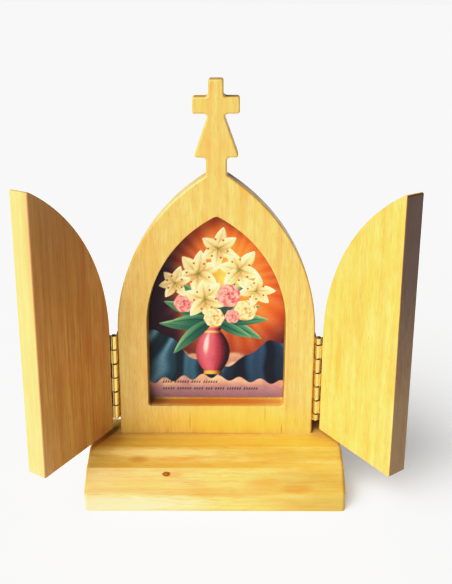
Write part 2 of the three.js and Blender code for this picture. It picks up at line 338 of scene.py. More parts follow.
def fillet(before, corner, after, radius, steps=CORNER_STEPS):
    """The arc that rounds a corner between two straight runs."""
    before, corner, after = (np.asarray(p, float) for p in (before, corner, after))
    back = (before - corner) / np.linalg.norm(before - corner)
    ahead = (after - corner) / np.linalg.norm(after - corner)
    half = math.acos(float(np.clip(back @ ahead, -1, 1))) / 2
    middle = (back + ahead) / np.linalg.norm(back + ahead)
    centre = corner + middle * radius / math.sin(half)
    start = corner + back * radius / math.tan(half) - centre
    turn = -math.copysign(math.pi - 2 * half, back[0] * ahead[1] - back[1] * ahead[0])
    angles = turn * np.arange(steps + 1) / steps
    cos, sin = np.cos(angles), np.sin(angles)
    return centre + np.column_stack((start[0] * cos - start[1] * sin, start[0] * sin + start[1] * cos))


def rounded(corners, radius, steps):
    """A closed outline of straight runs between rounded corners, with as many steps a run as given."""
    count = len(corners)
    bends = [fillet(corners[i - 1], corners[i], corners[(i + 1) % count], radius) for i in range(count)]
    parts = []
    for i, bend in enumerate(bends):
        parts += [bend, between(bend[-1], bends[(i + 1) % count][0], steps[i])]
    return np.vstack(parts)


def mirrored(points):
    """The other half of a symmetrical outline, in the order that keeps it anticlockwise."""
    return (points * (-1, 1))[::-1]


def outward(points, ends=None):
    """Unit vectors pointing out of an anticlockwise outline, at its points."""
    along = np.roll(points, -1, 0) - np.roll(points, 1, 0)
    if ends is not None:
        along[0], along[-1] = ends
    normals = np.column_stack((along[:, 1], -along[:, 0]))
    return normals / np.linalg.norm(normals, axis=1)[:, None]


def finial_outline(board, neck_foot, before):
    """The cross and its flared foot, from the right side of the neck to the left."""
    corners = [
        (*neck_foot, 1.2 * MM),
        (board.neck_half, board.neck_top, 2.4 * MM),
        (board.flare_half, board.neck_top, 1.8 * MM),
        (board.waist_half, board.arm_under, 2.4 * MM),
        (board.arm_half, board.arm_under, 1.8 * MM),
        (board.arm_half, board.arm_top, 1.8 * MM),
        (board.stem_half, board.arm_top, 2.4 * MM),
        (board.stem_half, board.stem_top, 1.8 * MM),
    ]
    stations = [before, *(c[:2] for c in corners), (0, board.stem_top)]
    bends = [fillet(stations[i], stations[i + 1], stations[i + 2], c[2]) for i, c in enumerate(corners)]
    parts = []
    for bend, following in zip(bends, bends[1:] + [np.array([[0, board.stem_top]])]):
        steps = steps_over(np.linalg.norm(following[0] - bend[-1]), 2 * MM)
        parts += [bend, between(bend[-1], following[0], steps)]
    right = np.vstack(parts)
    both = np.vstack((right, mirrored(right)))
    cos, sin = math.cos(board.lean), math.sin(board.lean)
    pivot = np.array([0, neck_foot[1]])
    return pivot + (both - pivot) @ np.array([[cos, sin], [-sin, cos]])


def board_outline(board):
    """The arched board, anticlockwise from the foot of its right side to the foot of its left."""
    half = BOARD_HIGH.x
    centre = board.arch_radius - half
    neck_angle = math.degrees(math.acos((centre + board.neck_half) / board.arch_radius))
    curve = arc((-centre, board.springing), board.arch_radius, 0, neck_angle, ARCH_STEPS)
    upright = between((half, 0), (half, board.springing), steps_over(board.springing))
    side = np.vstack(([(half, 0)], upright, curve[:-2]))
    finial = finial_outline(board, curve[-1], curve[-2])
    return np.vstack((side, finial, mirrored(side)))


def pocket_outline(pocket, grow):
    """The pocket, anticlockwise, grown on every side."""
    corner = (pocket.half - pocket.corner_radius, pocket.sill + pocket.corner_radius)
    centre = pocket.radius - pocket.half
    rise = math.sqrt((pocket.radius - pocket.apex_radius) ** 2 - centre**2)
    apex_angle = math.degrees(math.atan2(rise, centre))
    bend = arc(corner, pocket.corner_radius + grow, -90, 0, 10)
    curve = arc((-centre, pocket.springing), pocket.radius + grow, 0, apex_angle, 40)
    apex = arc((0, pocket.springing + rise), pocket.apex_radius + grow, apex_angle, 180 - apex_angle, 10)
    upright = between(bend[-1], curve[0], steps_over(pocket.springing - corner[1]))
    side = np.vstack((bend, upright, curve))
    sill_run = between((-corner[0], bend[0][1]), bend[0], steps_over(2 * corner[0]))
    return np.vstack((side, apex[1:-1], mirrored(side), sill_run))


def door_outline(doors, board, arch_radius, inset):
    """The right door when shut, drawn in on every side."""
    half = BOARD_HIGH.x
    centre = np.array([half - arch_radius - doors.packing, board.springing - doors.top_drop])
    radius = arch_radius - inset
    corner = max(doors.corner - inset, HAIR)
    meeting = doors.meeting_gap / 2 + inset
    outer = half - doors.packing - inset
    foot = doors.foot + inset
    top_angle = math.degrees(math.acos((meeting - centre[0]) / radius))
    curve = arc(centre, radius, 0, top_angle, ARCH_STEPS)
    near_foot = fillet((meeting, centre[1]), (meeting, foot), (outer, foot), corner)
    far_foot = fillet((meeting, foot), (outer, foot), (outer, centre[1]), corner)
    tip = fillet(curve[-2], curve[-1], (meeting, foot), corner)
    meeting_run = between(tip[-1], near_foot[0], steps_over(board.stem_top / 2))
    foot_run = between(near_foot[-1], far_foot[0], steps_over(half))
    outer_run = between(far_foot[-1], curve[0], steps_over(board.springing))
    return np.vstack((near_foot, foot_run, far_foot, outer_run, curve[:-1], tip, meeting_run))


def base_profile(base, inset):
    """The end of the base, as (back, up) points, anticlockwise and drawn in on every side."""
    front, back = BASE_LOW.y, BASE_HIGH.y
    corners = np.array([
        (front, 0),
        (back, 0),
        (back, LEDGE),
        (front + base.lower_run + base.upper_run, LEDGE),
        (front + base.lower_run, base.front_face + base.lower_rise),
        (front, base.front_face),
    ])
    along = np.roll(corners, -1, 0) - corners
    inward = np.column_stack((-along[:, 1], along[:, 0])) / np.linalg.norm(along, axis=1)[:, None]
    moved = []
    for i in range(len(corners)):
        sides = np.array([inward[i - 1], inward[i]])
        moved.append(np.linalg.solve(sides, (sides * corners[i]).sum(1) + inset))
    steps = [steps_over(side) for side in np.linalg.norm(along, axis=1)]
    return rounded(np.array(moved), max(base.ridge_easing - inset, HAIR), steps)


# ---------------------------------------------------------------- meshes


class Skin:
    """One closed skin, gathered ring by ring: points with their normals, and faces."""

    def __init__(self):
        self.points, self.normals, self.faces = [], [], []
        self.flat = []
        self.own = {}

    def add(self, points, normals):
        """Adds points with their normals and gives back their numbers."""
        start = len(self.points)
        self.points += [tuple(p) for p in points]
        self.normals += [tuple(n) for n in np.broadcast_to(normals, (len(points), 3))]
        return list(range(start, start + len(points)))

    def bridge(self, near, far, flat=()):
        """Joins two rings of as many points with quads; the quads that start at a flat place are flat."""
        for i in range(len(near)):
            k = (i + 1) % len(near)
            self.face((near[i], near[k], far[k], far[i]), i in flat)

    def face(self, corners, flat=False, own=None):
        """Adds one face. A flat one has its own normal at every corner, or a normal is given for each."""
        if flat:
            self.flat.append(len(self.faces))
        if own is not None:
            self.own[len(self.faces)] = own
        self.faces.append(tuple(corners))

    def fill(self, loops, lift, spacing=4 * MM, turned=False):
        """Fills the first loop of (numbers, plane points) and leaves the others open. Its inner points are
        lifted from the plane into space, with their normals."""
        plane = np.vstack([loop[1] for loop in loops])
        numbers = [number for loop in loops for number in loop[0]]
        edges, start = [], 0
        for loop in loops:
            count = len(loop[0])
            edges += [(start + i, start + (i + 1) % count) for i in range(count)]
            start += count
        segments = np.array([(plane[a], plane[b]) for a, b in edges])
        extra = inner_points(plane, segments, spacing)
        numbers += self.add(*lift(extra))
        everything = np.vstack((plane, extra))
        vertices = [Vector(p) for p in everything * TO_MM]
        result = delaunay_2d_cdt(vertices, edges, [], 0, 1e-5)
        corners = [source[0] for source in result[3]]
        triangles = [[corners[v] for v in face] for face in result[2]]
        middles = np.array([everything[t].mean(0) for t in triangles])
        for triangle, kept in zip(triangles, inside(middles, segments)):
            if kept:
                order = triangle[::-1] if turned else triangle
                self.face([numbers[v] for v in order])


def inside(points, segments):
    """Which points lie inside the area that the segments bound, by the even-odd rule."""
    (ax, ay), (bx, by) = segments[:, 0].T, segments[:, 1].T
    x, y = points[:, :1], points[:, 1:]
    across = (ay > y) != (by > y)
    with np.errstate(divide="ignore", invalid="ignore"):
        where = ax + (y - ay) * (bx - ax) / (by - ay)
    return ((across & (x < where)).sum(1) % 2).astype(bool)


def inner_points(plane, segments, spacing):
    """Grid points well inside an outline, for triangles of an even size."""
    low, high = plane.min(0), plane.max(0)
    axes = [np.arange(low[i] + spacing / 2, high[i], spacing) for i in (0, 1)]
    grid = np.stack(np.meshgrid(*axes), -1).reshape(-1, 2)
    grid = grid[inside(grid, segments)]
    gaps = np.linalg.norm(grid[:, None] - plane[None], axis=2).min(1)
    return grid[gaps > 0.6 * spacing]


def at_depth(points, depth):
    """Outline points (x, height above the ledge) at one depth, in the row frame."""
    return np.column_stack((points[:, 0], np.full(len(points), depth), points[:, 1] + LEDGE))


def cap_at(depth, side):
    """Lifts plane points onto a flat face at one depth: side -1 faces the front, 1 the back."""
    return lambda plane: (at_depth(plane, depth), (0, side, 0))


def end_at(x):
    """Lifts (back, up) plane points onto an end of the base."""
    return lambda plane: (np.column_stack((np.full(len(plane), x), plane)), (math.copysign(1, x), 0, 0))


def facing(normals, slope):
    """Outline normals tilted out of the outline's plane by slope: 0 lies in it, 1 is its front."""
    angle = slope * math.pi / 2
    flat = normals * math.cos(angle)
    return np.column_stack((flat[:, 0], np.full(len(normals), -math.sin(angle)), flat[:, 1]))


def rounding():
    """Shares of a quarter turn, from the face to the side."""
    return np.arange(ROUNDING_STEPS) / (ROUNDING_STEPS - 1)


def slab_rings(skin, outline, normals, near, far, radius):
    """Rings of a slab with rounded edges, near face first; outline(inset) gives the points."""
    rings = []
    for share in rounding():
        angle = share * math.pi / 2
        inset = radius * (1 - math.sin(angle))
        depth = near + radius * (1 - math.cos(angle))
        rings.append(skin.add(at_depth(outline(inset), depth), facing(normals, 1 - share)))
    for share in rounding()[::-1]:
        angle = share * math.pi / 2
        inset = radius * (1 - math.sin(angle))
        depth = far - radius * (1 - math.cos(angle))
        rings.append(skin.add(at_depth(outline(inset), depth), facing(normals, share - 1)))
    return rings


def plane_of(skin, ring):
    """A ring with its (x, height above the ledge) points."""
    points = np.array([skin.points[i] for i in ring])
    return ring, points[:, [0, 2]] - (0, LEDGE)


def make_piece(name, skin, material, body, nodes, grain=None, place=None):
    """A mesh object from a skin, riding on a body in place of CAD nodes."""
    place = np.eye(4) if place is None else np.array(place)
    turn = place[:3, :3]
    points = np.array(skin.points)
    moved = points @ turn.T + place[:3, 3]
    normals = np.array(skin.normals) @ turn.T
    mesh = bpy.data.meshes.new(name)
    mesh.from_pydata(moved.tolist(), [], skin.faces)
    mesh.polygons.foreach_set("use_smooth", [True] * len(mesh.polygons))
    corner_vertices = np.zeros(len(mesh.loops), int)
    mesh.loops.foreach_get("vertex_index", corner_vertices)
    corner_normals = normals[corner_vertices]
    for number in skin.flat:
        polygon = mesh.polygons[number]
        corner_normals[polygon.loop_start : polygon.loop_start + polygon.loop_total] = polygon.normal
    for number, own in skin.own.items():
        polygon = mesh.polygons[number]
        corner_normals[polygon.loop_start : polygon.loop_start + polygon.loop_total] = own @ turn.T
    mesh.normals_split_custom_set(corner_normals.tolist())
    if grain is not None:
        attribute = mesh.attributes.new("grain_mm", "FLOAT_VECTOR", "POINT")
        attribute.data.foreach_set("vector", (grain(points) * TO_MM).astype(np.float32).ravel())
    mesh.materials.append(material)
    obj = bpy.data.objects.new(name, mesh)
    bpy.context.scene.collection.objects.link(obj)
    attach(obj, body)
    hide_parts(*nodes)
    return obj


def upright_grain(points):
    """Grain that runs up a board: across, through and along it."""
    return np.column_stack((points[:, 0], points[:, 1] - FRONT, points[:, 2]))


def lengthwise_grain(points):
    """Grain that runs along the base: through, up and along it."""
    return points[:, [1, 2, 0]]


# ---------------------------------------------------------------- materials


def add(tree, kind, sockets=(), output=None, **settings):
    """Adds a node with its settings and fills its sockets, in their order or by name, with plain values or
    with links. It gives back the output of that name, or else the first one in use."""
    node = tree.nodes.new(kind)
    for name, value in settings.items():
        setattr(node, name, value)
    for key, value in sockets.items() if isinstance(sockets, dict) else enumerate(sockets):
        if isinstance(value, bpy.types.NodeSocket):
            tree.links.new(value, node.inputs[key])
        else:
            node.inputs[key].default_value = value
    if output is not None:
        return node.outputs[output]
    return next(socket for socket in node.outputs if socket.enabled)


def new_material(name, **sockets):
    """A material, its node tree and its shader, with the shader's plain values set."""
    material = bpy.data.materials.new(name)
    material.use_nodes = True
    shader = material.node_tree.nodes["Principled BSDF"]
    for key, value in sockets.items():
        shader.inputs[key.replace("_", " ")].default_value = value
    return material, material.node_tree, shader


def opaque(rgb):
    """A colour with full alpha."""
    return (*rgb[:3], 1)


def speckle(tree, place, size, seed=0.0, detail=2.0, roughness=0.5):
    """Noise whose features have a size in mm, given for each of the three grain directions."""
    sizes = tuple(1 / mm for mm in size)
    moved = add(tree, "ShaderNodeMapping", {"Vector": place, "Scale": sizes, "Location": (seed, seed, seed)})
    sockets = {"Vector": moved, "Scale": 1.0, "Detail": detail, "Roughness": roughness}
    return add(tree, "ShaderNodeTexNoise", sockets)


def layered(tree, under, pattern, span, strength, over):
    """A colour with another laid over it where a pattern rises through a span, up to a strength. Sockets
    0, 6 and 7 of the mixing node are its share and its colours."""
    share = add(tree, "ShaderNodeMapRange", (pattern, *span, 0, strength), interpolation_type="SMOOTHSTEP")
    return add(tree, "ShaderNodeMix", {0: share, 6: under, 7: over}, data_type="RGBA")


def surface(tree, shader, colour, dullness, relief=None, strength=0.0, depth=0.0):
    """Gives a shader its colour, its roughness and its fine relief. Dullness is (pattern, from, to, the
    roughness there, the roughness here), and depth is in mm."""
    tree.links.new(colour, shader.inputs["Base Color"])
    roughness = add(tree, "ShaderNodeMapRange", dullness, interpolation_type="SMOOTHSTEP")
    tree.links.new(roughness, shader.inputs["Roughness"])
    if relief is not None:
        sockets = {"Strength": strength, "Distance": depth * MM, "Height": relief}
        tree.links.new(add(tree, "ShaderNodeBump", sockets), shader.inputs["Normal"])


def growth_rings(tree, place, pith, width, seed):
    """Darkness of the wavering rings round a pith (across, through) that are width mm apart: a slow rise
    through each year and a quick fall at its end."""
    radial = add(tree, "ShaderNodeVectorMath", (place, (1, 1, 0)), operation="MULTIPLY")
    away = add(tree, "ShaderNodeVectorMath", (radial, (*pith, 0)), operation="SUBTRACT")
    distance = add(tree, "ShaderNodeVectorMath", (away,), operation="LENGTH")
    for size, reach, offset in (((26, 26, 140), 9.0, 0), ((7, 7, 60), 2.2, 3)):
        waver = speckle(tree, place, size, seed + offset)
        distance = add(tree, "ShaderNodeMath", (waver, reach, distance), operation="MULTIPLY_ADD")
    years = add(tree, "ShaderNodeMath", (distance, width), operation="DIVIDE")
    season = add(tree, "ShaderNodeMath", (years,), operation="FRACT")
    rise = add(tree, "ShaderNodeMapRange", (season, 0.30, 0.90, 0, 1))
    fall = add(tree, "ShaderNodeMapRange", (season, 0.92, 1.0, 1, 0))
    return add(tree, "ShaderNodeMath", (rise, fall), operation="MULTIPLY")


def spot(tree, place, fibres, centre, size, strength):
    """A patch round a centre with half sizes in mm, ragged along the fibres: its strength inside, 0 away."""
    away = add(tree, "ShaderNodeVectorMath", (place, centre), operation="SUBTRACT")
    scaled = add(tree, "ShaderNodeVectorMath", (away, tuple(1 / mm for mm in size)), operation="MULTIPLY")
    distance = add(tree, "ShaderNodeVectorMath", (scaled,), operation="LENGTH")
    ragged = add(tree, "ShaderNodeMath", (fibres, 0.9, distance), operation="MULTIPLY_ADD")
    return add(tree, "ShaderNodeMapRange", (ragged, 0.85, 1.75, strength, 0), interpolation_type="SMOOTHSTEP")


def varnished_pine(name, finish, pith, seed, figure, coat, spots=(), painted_shades=None):
    """Pine, planed, sanded and brushed with clear varnish. It gives the eye a honey gold with soft streaks
    along the grain, a few brown flecks, and a satin sheen over them. Fibres and resin flecks are far finer in
    real pine, and are drawn 0.8 and 0.5 mm wide so that they show. Figure is how strong the streaks are, and
    coat how thick the varnish is. A door's painted shades are (where its free edge is, the painted shade
    there, where its inner face is, the painted shade there), and its figure is for the inner face alone."""
    material, tree, shader = new_material(name, IOR=1.5, Coat_Weight=coat, Coat_Roughness=0.24, Coat_IOR=1.5)
    place = add(tree, "ShaderNodeAttribute", output="Vector", attribute_name="grain_mm")
    rings = growth_rings(tree, place, pith, 6.5, seed)
    broad = speckle(tree, place, (4.5, 4.5, 120), seed + 11, 3.0, 0.6)
    streaks = speckle(tree, place, (1.5, 1.5, 42), seed + 7, 3.0, 0.62)
    fibres = speckle(tree, place, (0.8, 0.8, 10), seed + 5, 2.0, 0.6)
    clouds = speckle(tree, place, (7, 7, 16), seed + 29, 3.0, 0.55)
    amber = speckle(tree, place, (14, 14, 70), seed + 17, 2.0)
    flecks = speckle(tree, place, (0.5, 0.5, 7), seed + 23, 0.0)

    if painted_shades is not None:
        edge, shade_on_edge, inner, shade_on_face = painted_shades
        across = add(tree, "ShaderNodeSeparateXYZ", (place,), output="X")
        through = add(tree, "ShaderNodeSeparateXYZ", (place,), output="Y")
        skin_deep = (inner - 1.0, inner - 0.1)
        sockets = (through, *skin_deep, PLAIN_FIGURE, figure)
        figure = add(tree, "ShaderNodeMapRange", sockets, interpolation_type="SMOOTHSTEP")

    # From the bottom up: pattern, the span it rises through, strength, colour, whether it is figure
    layers = (
        (clouds, (0.35, 0.70), 0.45, finish.pine_light, False),
        (broad, (0.42, 0.72), 0.62, finish.pine_ring, True),
        (streaks, (0.45, 0.75), 0.60, finish.pine_ring, True),
        (streaks, (0.42, 0.25), 0.45, finish.pine_light, False),
        (rings, (0.0, 1.0), 0.22, finish.pine_ring, True),
        (fibres, (0.47, 0.72), 0.34, finish.pine_ring, False),
        (amber, (0.50, 0.78), 0.45, finish.pine_amber, False),
        (flecks, (0.77, 0.84), 0.45, finish.pine_fleck, False),
    )
    wood = opaque(finish.pine_pale)
    for pattern, span, strength, over, figured in layers:
        if figured:
            strength = add(tree, "ShaderNodeMath", (figure, strength), operation="MULTIPLY")
        wood = layered(tree, wood, pattern, span, strength, opaque(over))

    for centre, size, code, strength in spots:
        share = spot(tree, place, fibres, centre, size, strength)
        wood = add(tree, "ShaderNodeMix", {0: share, 6: wood, 7: opaque(linear(code))}, data_type="RGBA")
        if strength > 1:
            # A knot's resin keeps the varnish off, so it hardly shines
            sockets = (share, 0, 1, 0.5, 0.08)
            shine = add(tree, "ShaderNodeMapRange", sockets, interpolation_type="SMOOTHSTEP")
            tree.links.new(shine, shader.inputs["Specular IOR Level"])

    # Painted shade: a darker colour multiplied over the door's free edge and its inner face
    if painted_shades is not None:
        gap = add(tree, "ShaderNodeMath", (across, edge), operation="SUBTRACT")
        gap = add(tree, "ShaderNodeMath", (gap,), operation="ABSOLUTE")
        shading = layered(tree, opaque(shade_on_edge), gap, (0.3, 1.0), 1.0, WHITE)
        shading = layered(tree, shading, through, skin_deep, 1.0, opaque(shade_on_face))
        sockets = {0: 1.0, 6: wood, 7: shading}
        wood = add(tree, "ShaderNodeMix", sockets, data_type="RGBA", blend_type="MULTIPLY")

    handling = speckle(tree, place, (9, 9, 26), seed + 31, 2.0)
    relief = add(tree, "ShaderNodeMath", (fibres, streaks), operation="ADD")
    surface(tree, shader, wood, (handling, 0.3, 0.7, 0.34, 0.48), relief, 0.25, 0.05)
    return material


def coated_print():
    """Litho print on coated card, laid down in soft oil-painting colours, with the faint gloss of the
    coating broken by the card's fibres, which are drawn 0.5 mm wide so that they show."""
    material, tree, shader = new_material(
        "coated_print", IOR=1.48, Specular_IOR_Level=0.25, Coat_Weight=0.05, Coat_Roughness=0.3
    )
    ink = add(tree, "ShaderNodeAttribute", output="Color", attribute_name="ink")
    place = add(tree, "ShaderNodeAttribute", output="Vector", attribute_name="card_mm")
    fibre = speckle(tree, place, (0.5, 0.5, 0.5), 2.0, 3.0)
    surface(tree, shader, ink, (fibre, 0.3, 0.7, 0.33, 0.45), fibre, 0.15, 0.03)
    return material


def rolled_brass(finish):
    """Hinge brass rolled from sheet, lacquered and handled. It gives a warm golden metal, brown where the
    knuckles meet, with fine lines along the strip, drawn 0.35 mm wide so that they show."""
    material, tree, shader = new_material("rolled_brass", Metallic=1.0)
    place = add(tree, "ShaderNodeAttribute", output="Vector", attribute_name="grain_mm")
    joint = add(tree, "ShaderNodeAttribute", output="Fac", attribute_name="joint")
    lines = speckle(tree, place, (0.35, 0.35, 12), 1.0, 2.0)
    cloud = speckle(tree, place, (5, 5, 9), 4.0, 2.0)
    clouded = add(tree, "ShaderNodeMapRange", (cloud, 0.55, 0.8, 0, 0.25), interpolation_type="SMOOTHSTEP")
    grime = add(tree, "ShaderNodeMath", (joint, clouded), operation="MAXIMUM")
    tarnish = opaque(finish.tarnish)
    brass = layered(tree, opaque(finish.brass), lines, (0.35, 0.7), 0.12, tarnish)
    brass = add(tree, "ShaderNodeMix", {0: grime, 6: brass, 7: tarnish}, data_type="RGBA")
    surface(tree, shader, brass, (grime, 0, 1, 0.26, 0.6), lines, 0.2, 0.02)
    return material


def turned_brass(finish):
    """Brass turned on a lathe, for the screws: brighter than the strip, with faint tarnished marks."""
    material, tree, shader = new_material("turned_brass", Metallic=1.0)
    place = add(tree, "ShaderNodeAttribute", output="Vector", attribute_name="grain_mm")
    marks = speckle(tree, place, (1.2, 1.2, 1.2), 8.0, 2.0)
    brass = layered(tree, opaque(finish.brass), marks, (0.45, 0.8), 0.4, opaque(finish.tarnish))
    surface(tree, shader, brass, (marks, 0.3, 0.8, 0.24, 0.45))
    return material


def drawn_steel(finish):
    """Drawn steel wire with a dull grey skin, for the hinge pins, with its drawing lines 0.3 mm wide."""
    material, tree, shader = new_material("drawn_steel", Metallic=1.0, Roughness=0.4)
    place = add(tree, "ShaderNodeAttribute", output="Vector", attribute_name="grain_mm")
    lines = speckle(tree, place, (0.3, 0.3, 9), 5.0, 2.0)
    dull = tuple(0.6 * part for part in finish.steel)
    steel = layered(tree, opaque(finish.steel), lines, (0.3, 0.7), 1.0, opaque(dull))
    tree.links.new(steel, shader.inputs["Base Color"])
    return material


# ---------------------------------------------------------------- painting


def stops(share, codes):
    """Colours along a row of hex codes, for shares from 0 to 1."""
    table = np.array([linear(code) for code in codes])
    places = np.linspace(0, 1, len(codes))
    return np.column_stack([np.interp(share, places, table[:, i]) for i in range(3)])


def smooth(value, start, end):
    """0 at start, 1 at end, with soft ends."""
    share = np.clip((value - start) / (end - start), 0, 1)
    return share * share * (3 - 2 * share)


class Painting:
    """A picture laid down in layers on points in mm: x from the card's middle, z from its foot."""

    edge = 0.45

    def __init__(self, x, z):
        self.x, self.z = x, z
        self.ink = np.zeros((len(x), 3))

    def lay(self, mask, colours):
        """Lays a layer over what is there: a colour for each point, or one hex code."""
        if isinstance(colours, str):
            colours = np.array(linear(colours))
        self.ink += (colours - self.ink) * mask[:, None]

    def mottle(self, size, seed):
        """Smooth noise about 0, with features of a size in mm."""
        random = np.random.default_rng(seed)
        total = np.zeros(len(self.x))
        for _ in range(16):
            angle, phase = random.uniform(0, 2 * math.pi, 2)
            wave = 2 * math.pi / (size * random.uniform(1.2, 2.6))
            total += np.cos(wave * (self.x * math.cos(angle) + self.z * math.sin(angle)) + phase)
        return total / 4

    def glow(self, centre):
        """A golden light with faint rays, dying away into maroon on its left, where a painted shadow of the
        pocket's left wall darkens it further.
        """
        dx, dz = self.x - centre[0], self.z - centre[1]
        distance = np.hypot(dx * np.where(dx < 0, 1.15, 0.95), dz * 0.85)
        # The last term is a painted shadow of the pocket's left wall over the card's left side
        shade = distance / 78 + 0.05 * self.mottle(22, 3) + 0.30 * smooth(-self.x, 20, 50)
        codes = ["#F8C765", "#EFA23F", "#DF812B", "#C9601F", "#A2421C", "#6E2A1C", "#451426", "#2A0A1E"]
        self.ink[:] = stops(np.clip(shade, 0, 1), codes)
        bearing = np.arctan2(dz, dx)
        rays = 0.5 + 0.5 * np.cos(bearing * 26 + 1.5 * np.sin(bearing * 5))
        fade = smooth(distance, 14, 24) * (1 - smooth(distance, 34, 66))
        self.lay(0.08 * rays * fade, "#FFDF96")

    def puff(self, centre, radius, codes, strength=0.85):
        """One soft billow of cloud, lit from above."""
        dx, dz = (self.x - centre[0]) / radius, (self.z - centre[1]) / (0.62 * radius)
        distance = np.hypot(dx, dz)
        light = np.clip(0.55 + 0.45 * dz - 0.15 * dx, 0, 1)
        self.lay(strength * (1 - smooth(distance, 0.55, 1.0)), stops(light, codes))

    def clouds(self):
        """A bank of clouds in mauve and peach along the foot."""
        random = np.random.default_rng(8)
        haze = 1 - smooth(self.z + 2.5 * self.mottle(16, 5), 20, 40)
        self.lay(haze, stops(np.clip(self.z / 40, 0, 1), ["#A5777A", "#C8927F", "#DCA882"]))
        for row, height in enumerate((34, 28, 22, 16, 11)):
            for step in range(7):
                centre = (-51 + 17 * step + random.uniform(-6, 6), height + random.uniform(-2.5, 2.5))
                cool = ["#85616E", "#B0847F", "#D9A78B", "#F0CBA0"]
                warm = ["#96675F", "#C68F76", "#E8B88C", "#F8D8A6"]
                self.puff(centre, random.uniform(8, 13), warm if (step + row) % 2 else cool, 0.6)
        dusk = stops(np.clip(self.z / 15, 0, 1), ["#8F6B74", "#A87E7E"])
        self.lay(0.75 * (1 - smooth(self.z, 4, 15)), dusk)

    def petal(self, base, angle, length, width, codes, bend=0.0, tip=0.75, vein=0.0):
        """One petal or leaf, from its base at an angle in degrees, bent by a share of its length."""
        turn = math.radians(angle)
        dx, dz = self.x - base[0], self.z - base[1]
        along = (dx * math.cos(turn) + dz * math.sin(turn)) / length
        across = (-dx * math.sin(turn) + dz * math.cos(turn)) - bend * length * along * along
        near = (along > -0.02) & (along < 1.02)
        share = np.clip(along, 0, 1)
        half = width / 2 * np.sin(math.pi * share**tip) ** 0.8
        side = np.where(half > 0.05, across / np.maximum(half, 0.05), 9)
        mask = near * smooth(half - np.abs(across), -self.edge / 2, self.edge / 2)
        lit = math.cos(turn + math.pi / 2 - math.radians(125))
        light = 0.30 + 0.55 * share - 0.22 * side**2 + 0.20 * side * lit
        light += vein * (np.abs(side) - 0.35) - 0.25 * vein * np.exp(-((side / 0.10) ** 2))
        light += 0.05 * np.sin(side * 9) * share
        self.lay(mask, stops(np.clip(light, 0, 1), codes))

    def lily(self, centre, size, turn, seed):
        """An open lily: six pointed petals, a green throat and six stamens."""
        random = np.random.default_rng(seed)
        codes = ["#7A5230", "#BF9455", "#E3C98C", "#F3E1AE", "#FAEFC9"]
        for k in (0, 2, 4, 1, 3, 5):
            angle = turn + 60 * k + random.uniform(-7, 7)
            squash = 0.78 + 0.22 * abs(math.cos(math.radians(angle - turn)))
            reach = size * squash * random.uniform(0.92, 1.06)
            self.petal(centre, angle, reach, size * 0.52, codes, random.uniform(-0.12, 0.12), 0.8, 0.35)
        throat = np.hypot(self.x - centre[0], self.z - centre[1])
        green = stops(throat / size, ["#6C7A34", "#C8B25C"])
        self.lay(0.7 * (1 - smooth(throat, 0.05 * size, 0.2 * size)), green)
        for k in range(6):
            angle = math.radians(turn + 30 + 60 * k + random.uniform(-12, 12))
            for step in np.linspace(0.1, 0.4, 6):
                self.dot(centre, angle, step * size, 0.35, "#D9C27A")
            self.dot(centre, angle, 0.44 * size, 0.85, "#A5501C")

    def dot(self, centre, angle, reach, radius, code):
        """A small round dab of paint."""
        x, z = centre[0] + reach * math.cos(angle), centre[1] + reach * math.sin(angle)
        distance = np.hypot(self.x - x, self.z - z)
        self.lay(1 - smooth(distance, 0.6 * radius, 1.3 * radius), code)

    def rose(self, centre, size, codes, seed):
        """A full rose: rings of broad petals that close towards its heart."""
        random = np.random.default_rng(seed)
        for ring, reach in enumerate((1.0, 0.82, 0.64, 0.47, 0.32, 0.19)):
            for k in range(6 - ring // 2):
                angle = 360 * k / (6 - ring // 2) + 37 * ring + random.uniform(-10, 10)
                start = (
                    centre[0] - 0.15 * size * reach * math.cos(math.radians(angle)),
                    centre[1] - 0.15 * size * reach * math.sin(math.radians(angle)) + 0.03 * size * ring,
                )
                self.petal(start, angle, size * reach, size * reach * 1.05, codes, 0.0, 1.5)
        heart = np.hypot(self.x - centre[0], self.z - centre[1] - 0.12 * size)
        self.lay(0.6 * (1 - smooth(heart, 0, 0.16 * size)), codes[0])

    def cloth(self, mask, anchor, codes, folds, seed):
        """Draped cloth whose folds fan out from an anchor."""
        dx, dz = self.x - anchor[0], self.z - anchor[1]
        bearing = np.arctan2(dx, -dz)
        distance = np.hypot(dx, dz)
        phase = bearing * folds + 0.5 * self.mottle(18, seed) + 0.02 * distance
        wave = 0.5 + 0.5 * np.sin(phase) + 0.18 * np.sin(2.3 * phase + 1)
        light = np.clip(0.10 + 0.72 * wave - 0.0035 * distance, 0, 1)
        self.lay(mask, stops(light, codes))

    def vase(self, centre, height, codes):
        """A round-bellied vase, lit from the left, with a gilt neck and foot."""
        share = np.clip((self.z - centre[1]) / height, 0, 1)
        belly = 13.2 * np.sin(math.pi * np.clip(share * 0.93 + 0.07, 0, 1)) ** 0.75
        neck = 5.4 + 3.0 * smooth(share, 0.86, 1.0)
        foot = 7.4 - 9 * share
        half = np.maximum(np.maximum(belly, foot), neck * (share > 0.6))
        up = self.z - centre[1]
        inside_z = smooth(up, -0.3, 0.3) * (1 - smooth(up - height, -0.3, 0.3))
        side = (self.x - centre[0]) / half
        mask = inside_z * smooth(half - np.abs(self.x - centre[0]), -0.3, 0.3)
        light = 0.62 - 0.50 * (side + 0.25) ** 2 - 0.12 * side + 0.10 * share
        light += 0.55 * np.exp(-(((side + 0.42) / 0.13) ** 2) - (((share - 0.62) / 0.16) ** 2))
        self.lay(mask, stops(np.clip(light, 0, 1), codes))
        gilt = ["#4A2A10", "#96601E", "#DDA63C", "#FBE08C"]
        for low, high in ((0.0, 0.07), (0.84, 0.88), (0.95, 1.0)):
            ring = smooth(share, low - 0.01, low + 0.01) * (1 - smooth(share, high - 0.01, high + 0.01))
            self.lay(mask * ring, stops(np.clip(light + 0.08, 0, 1), gilt))

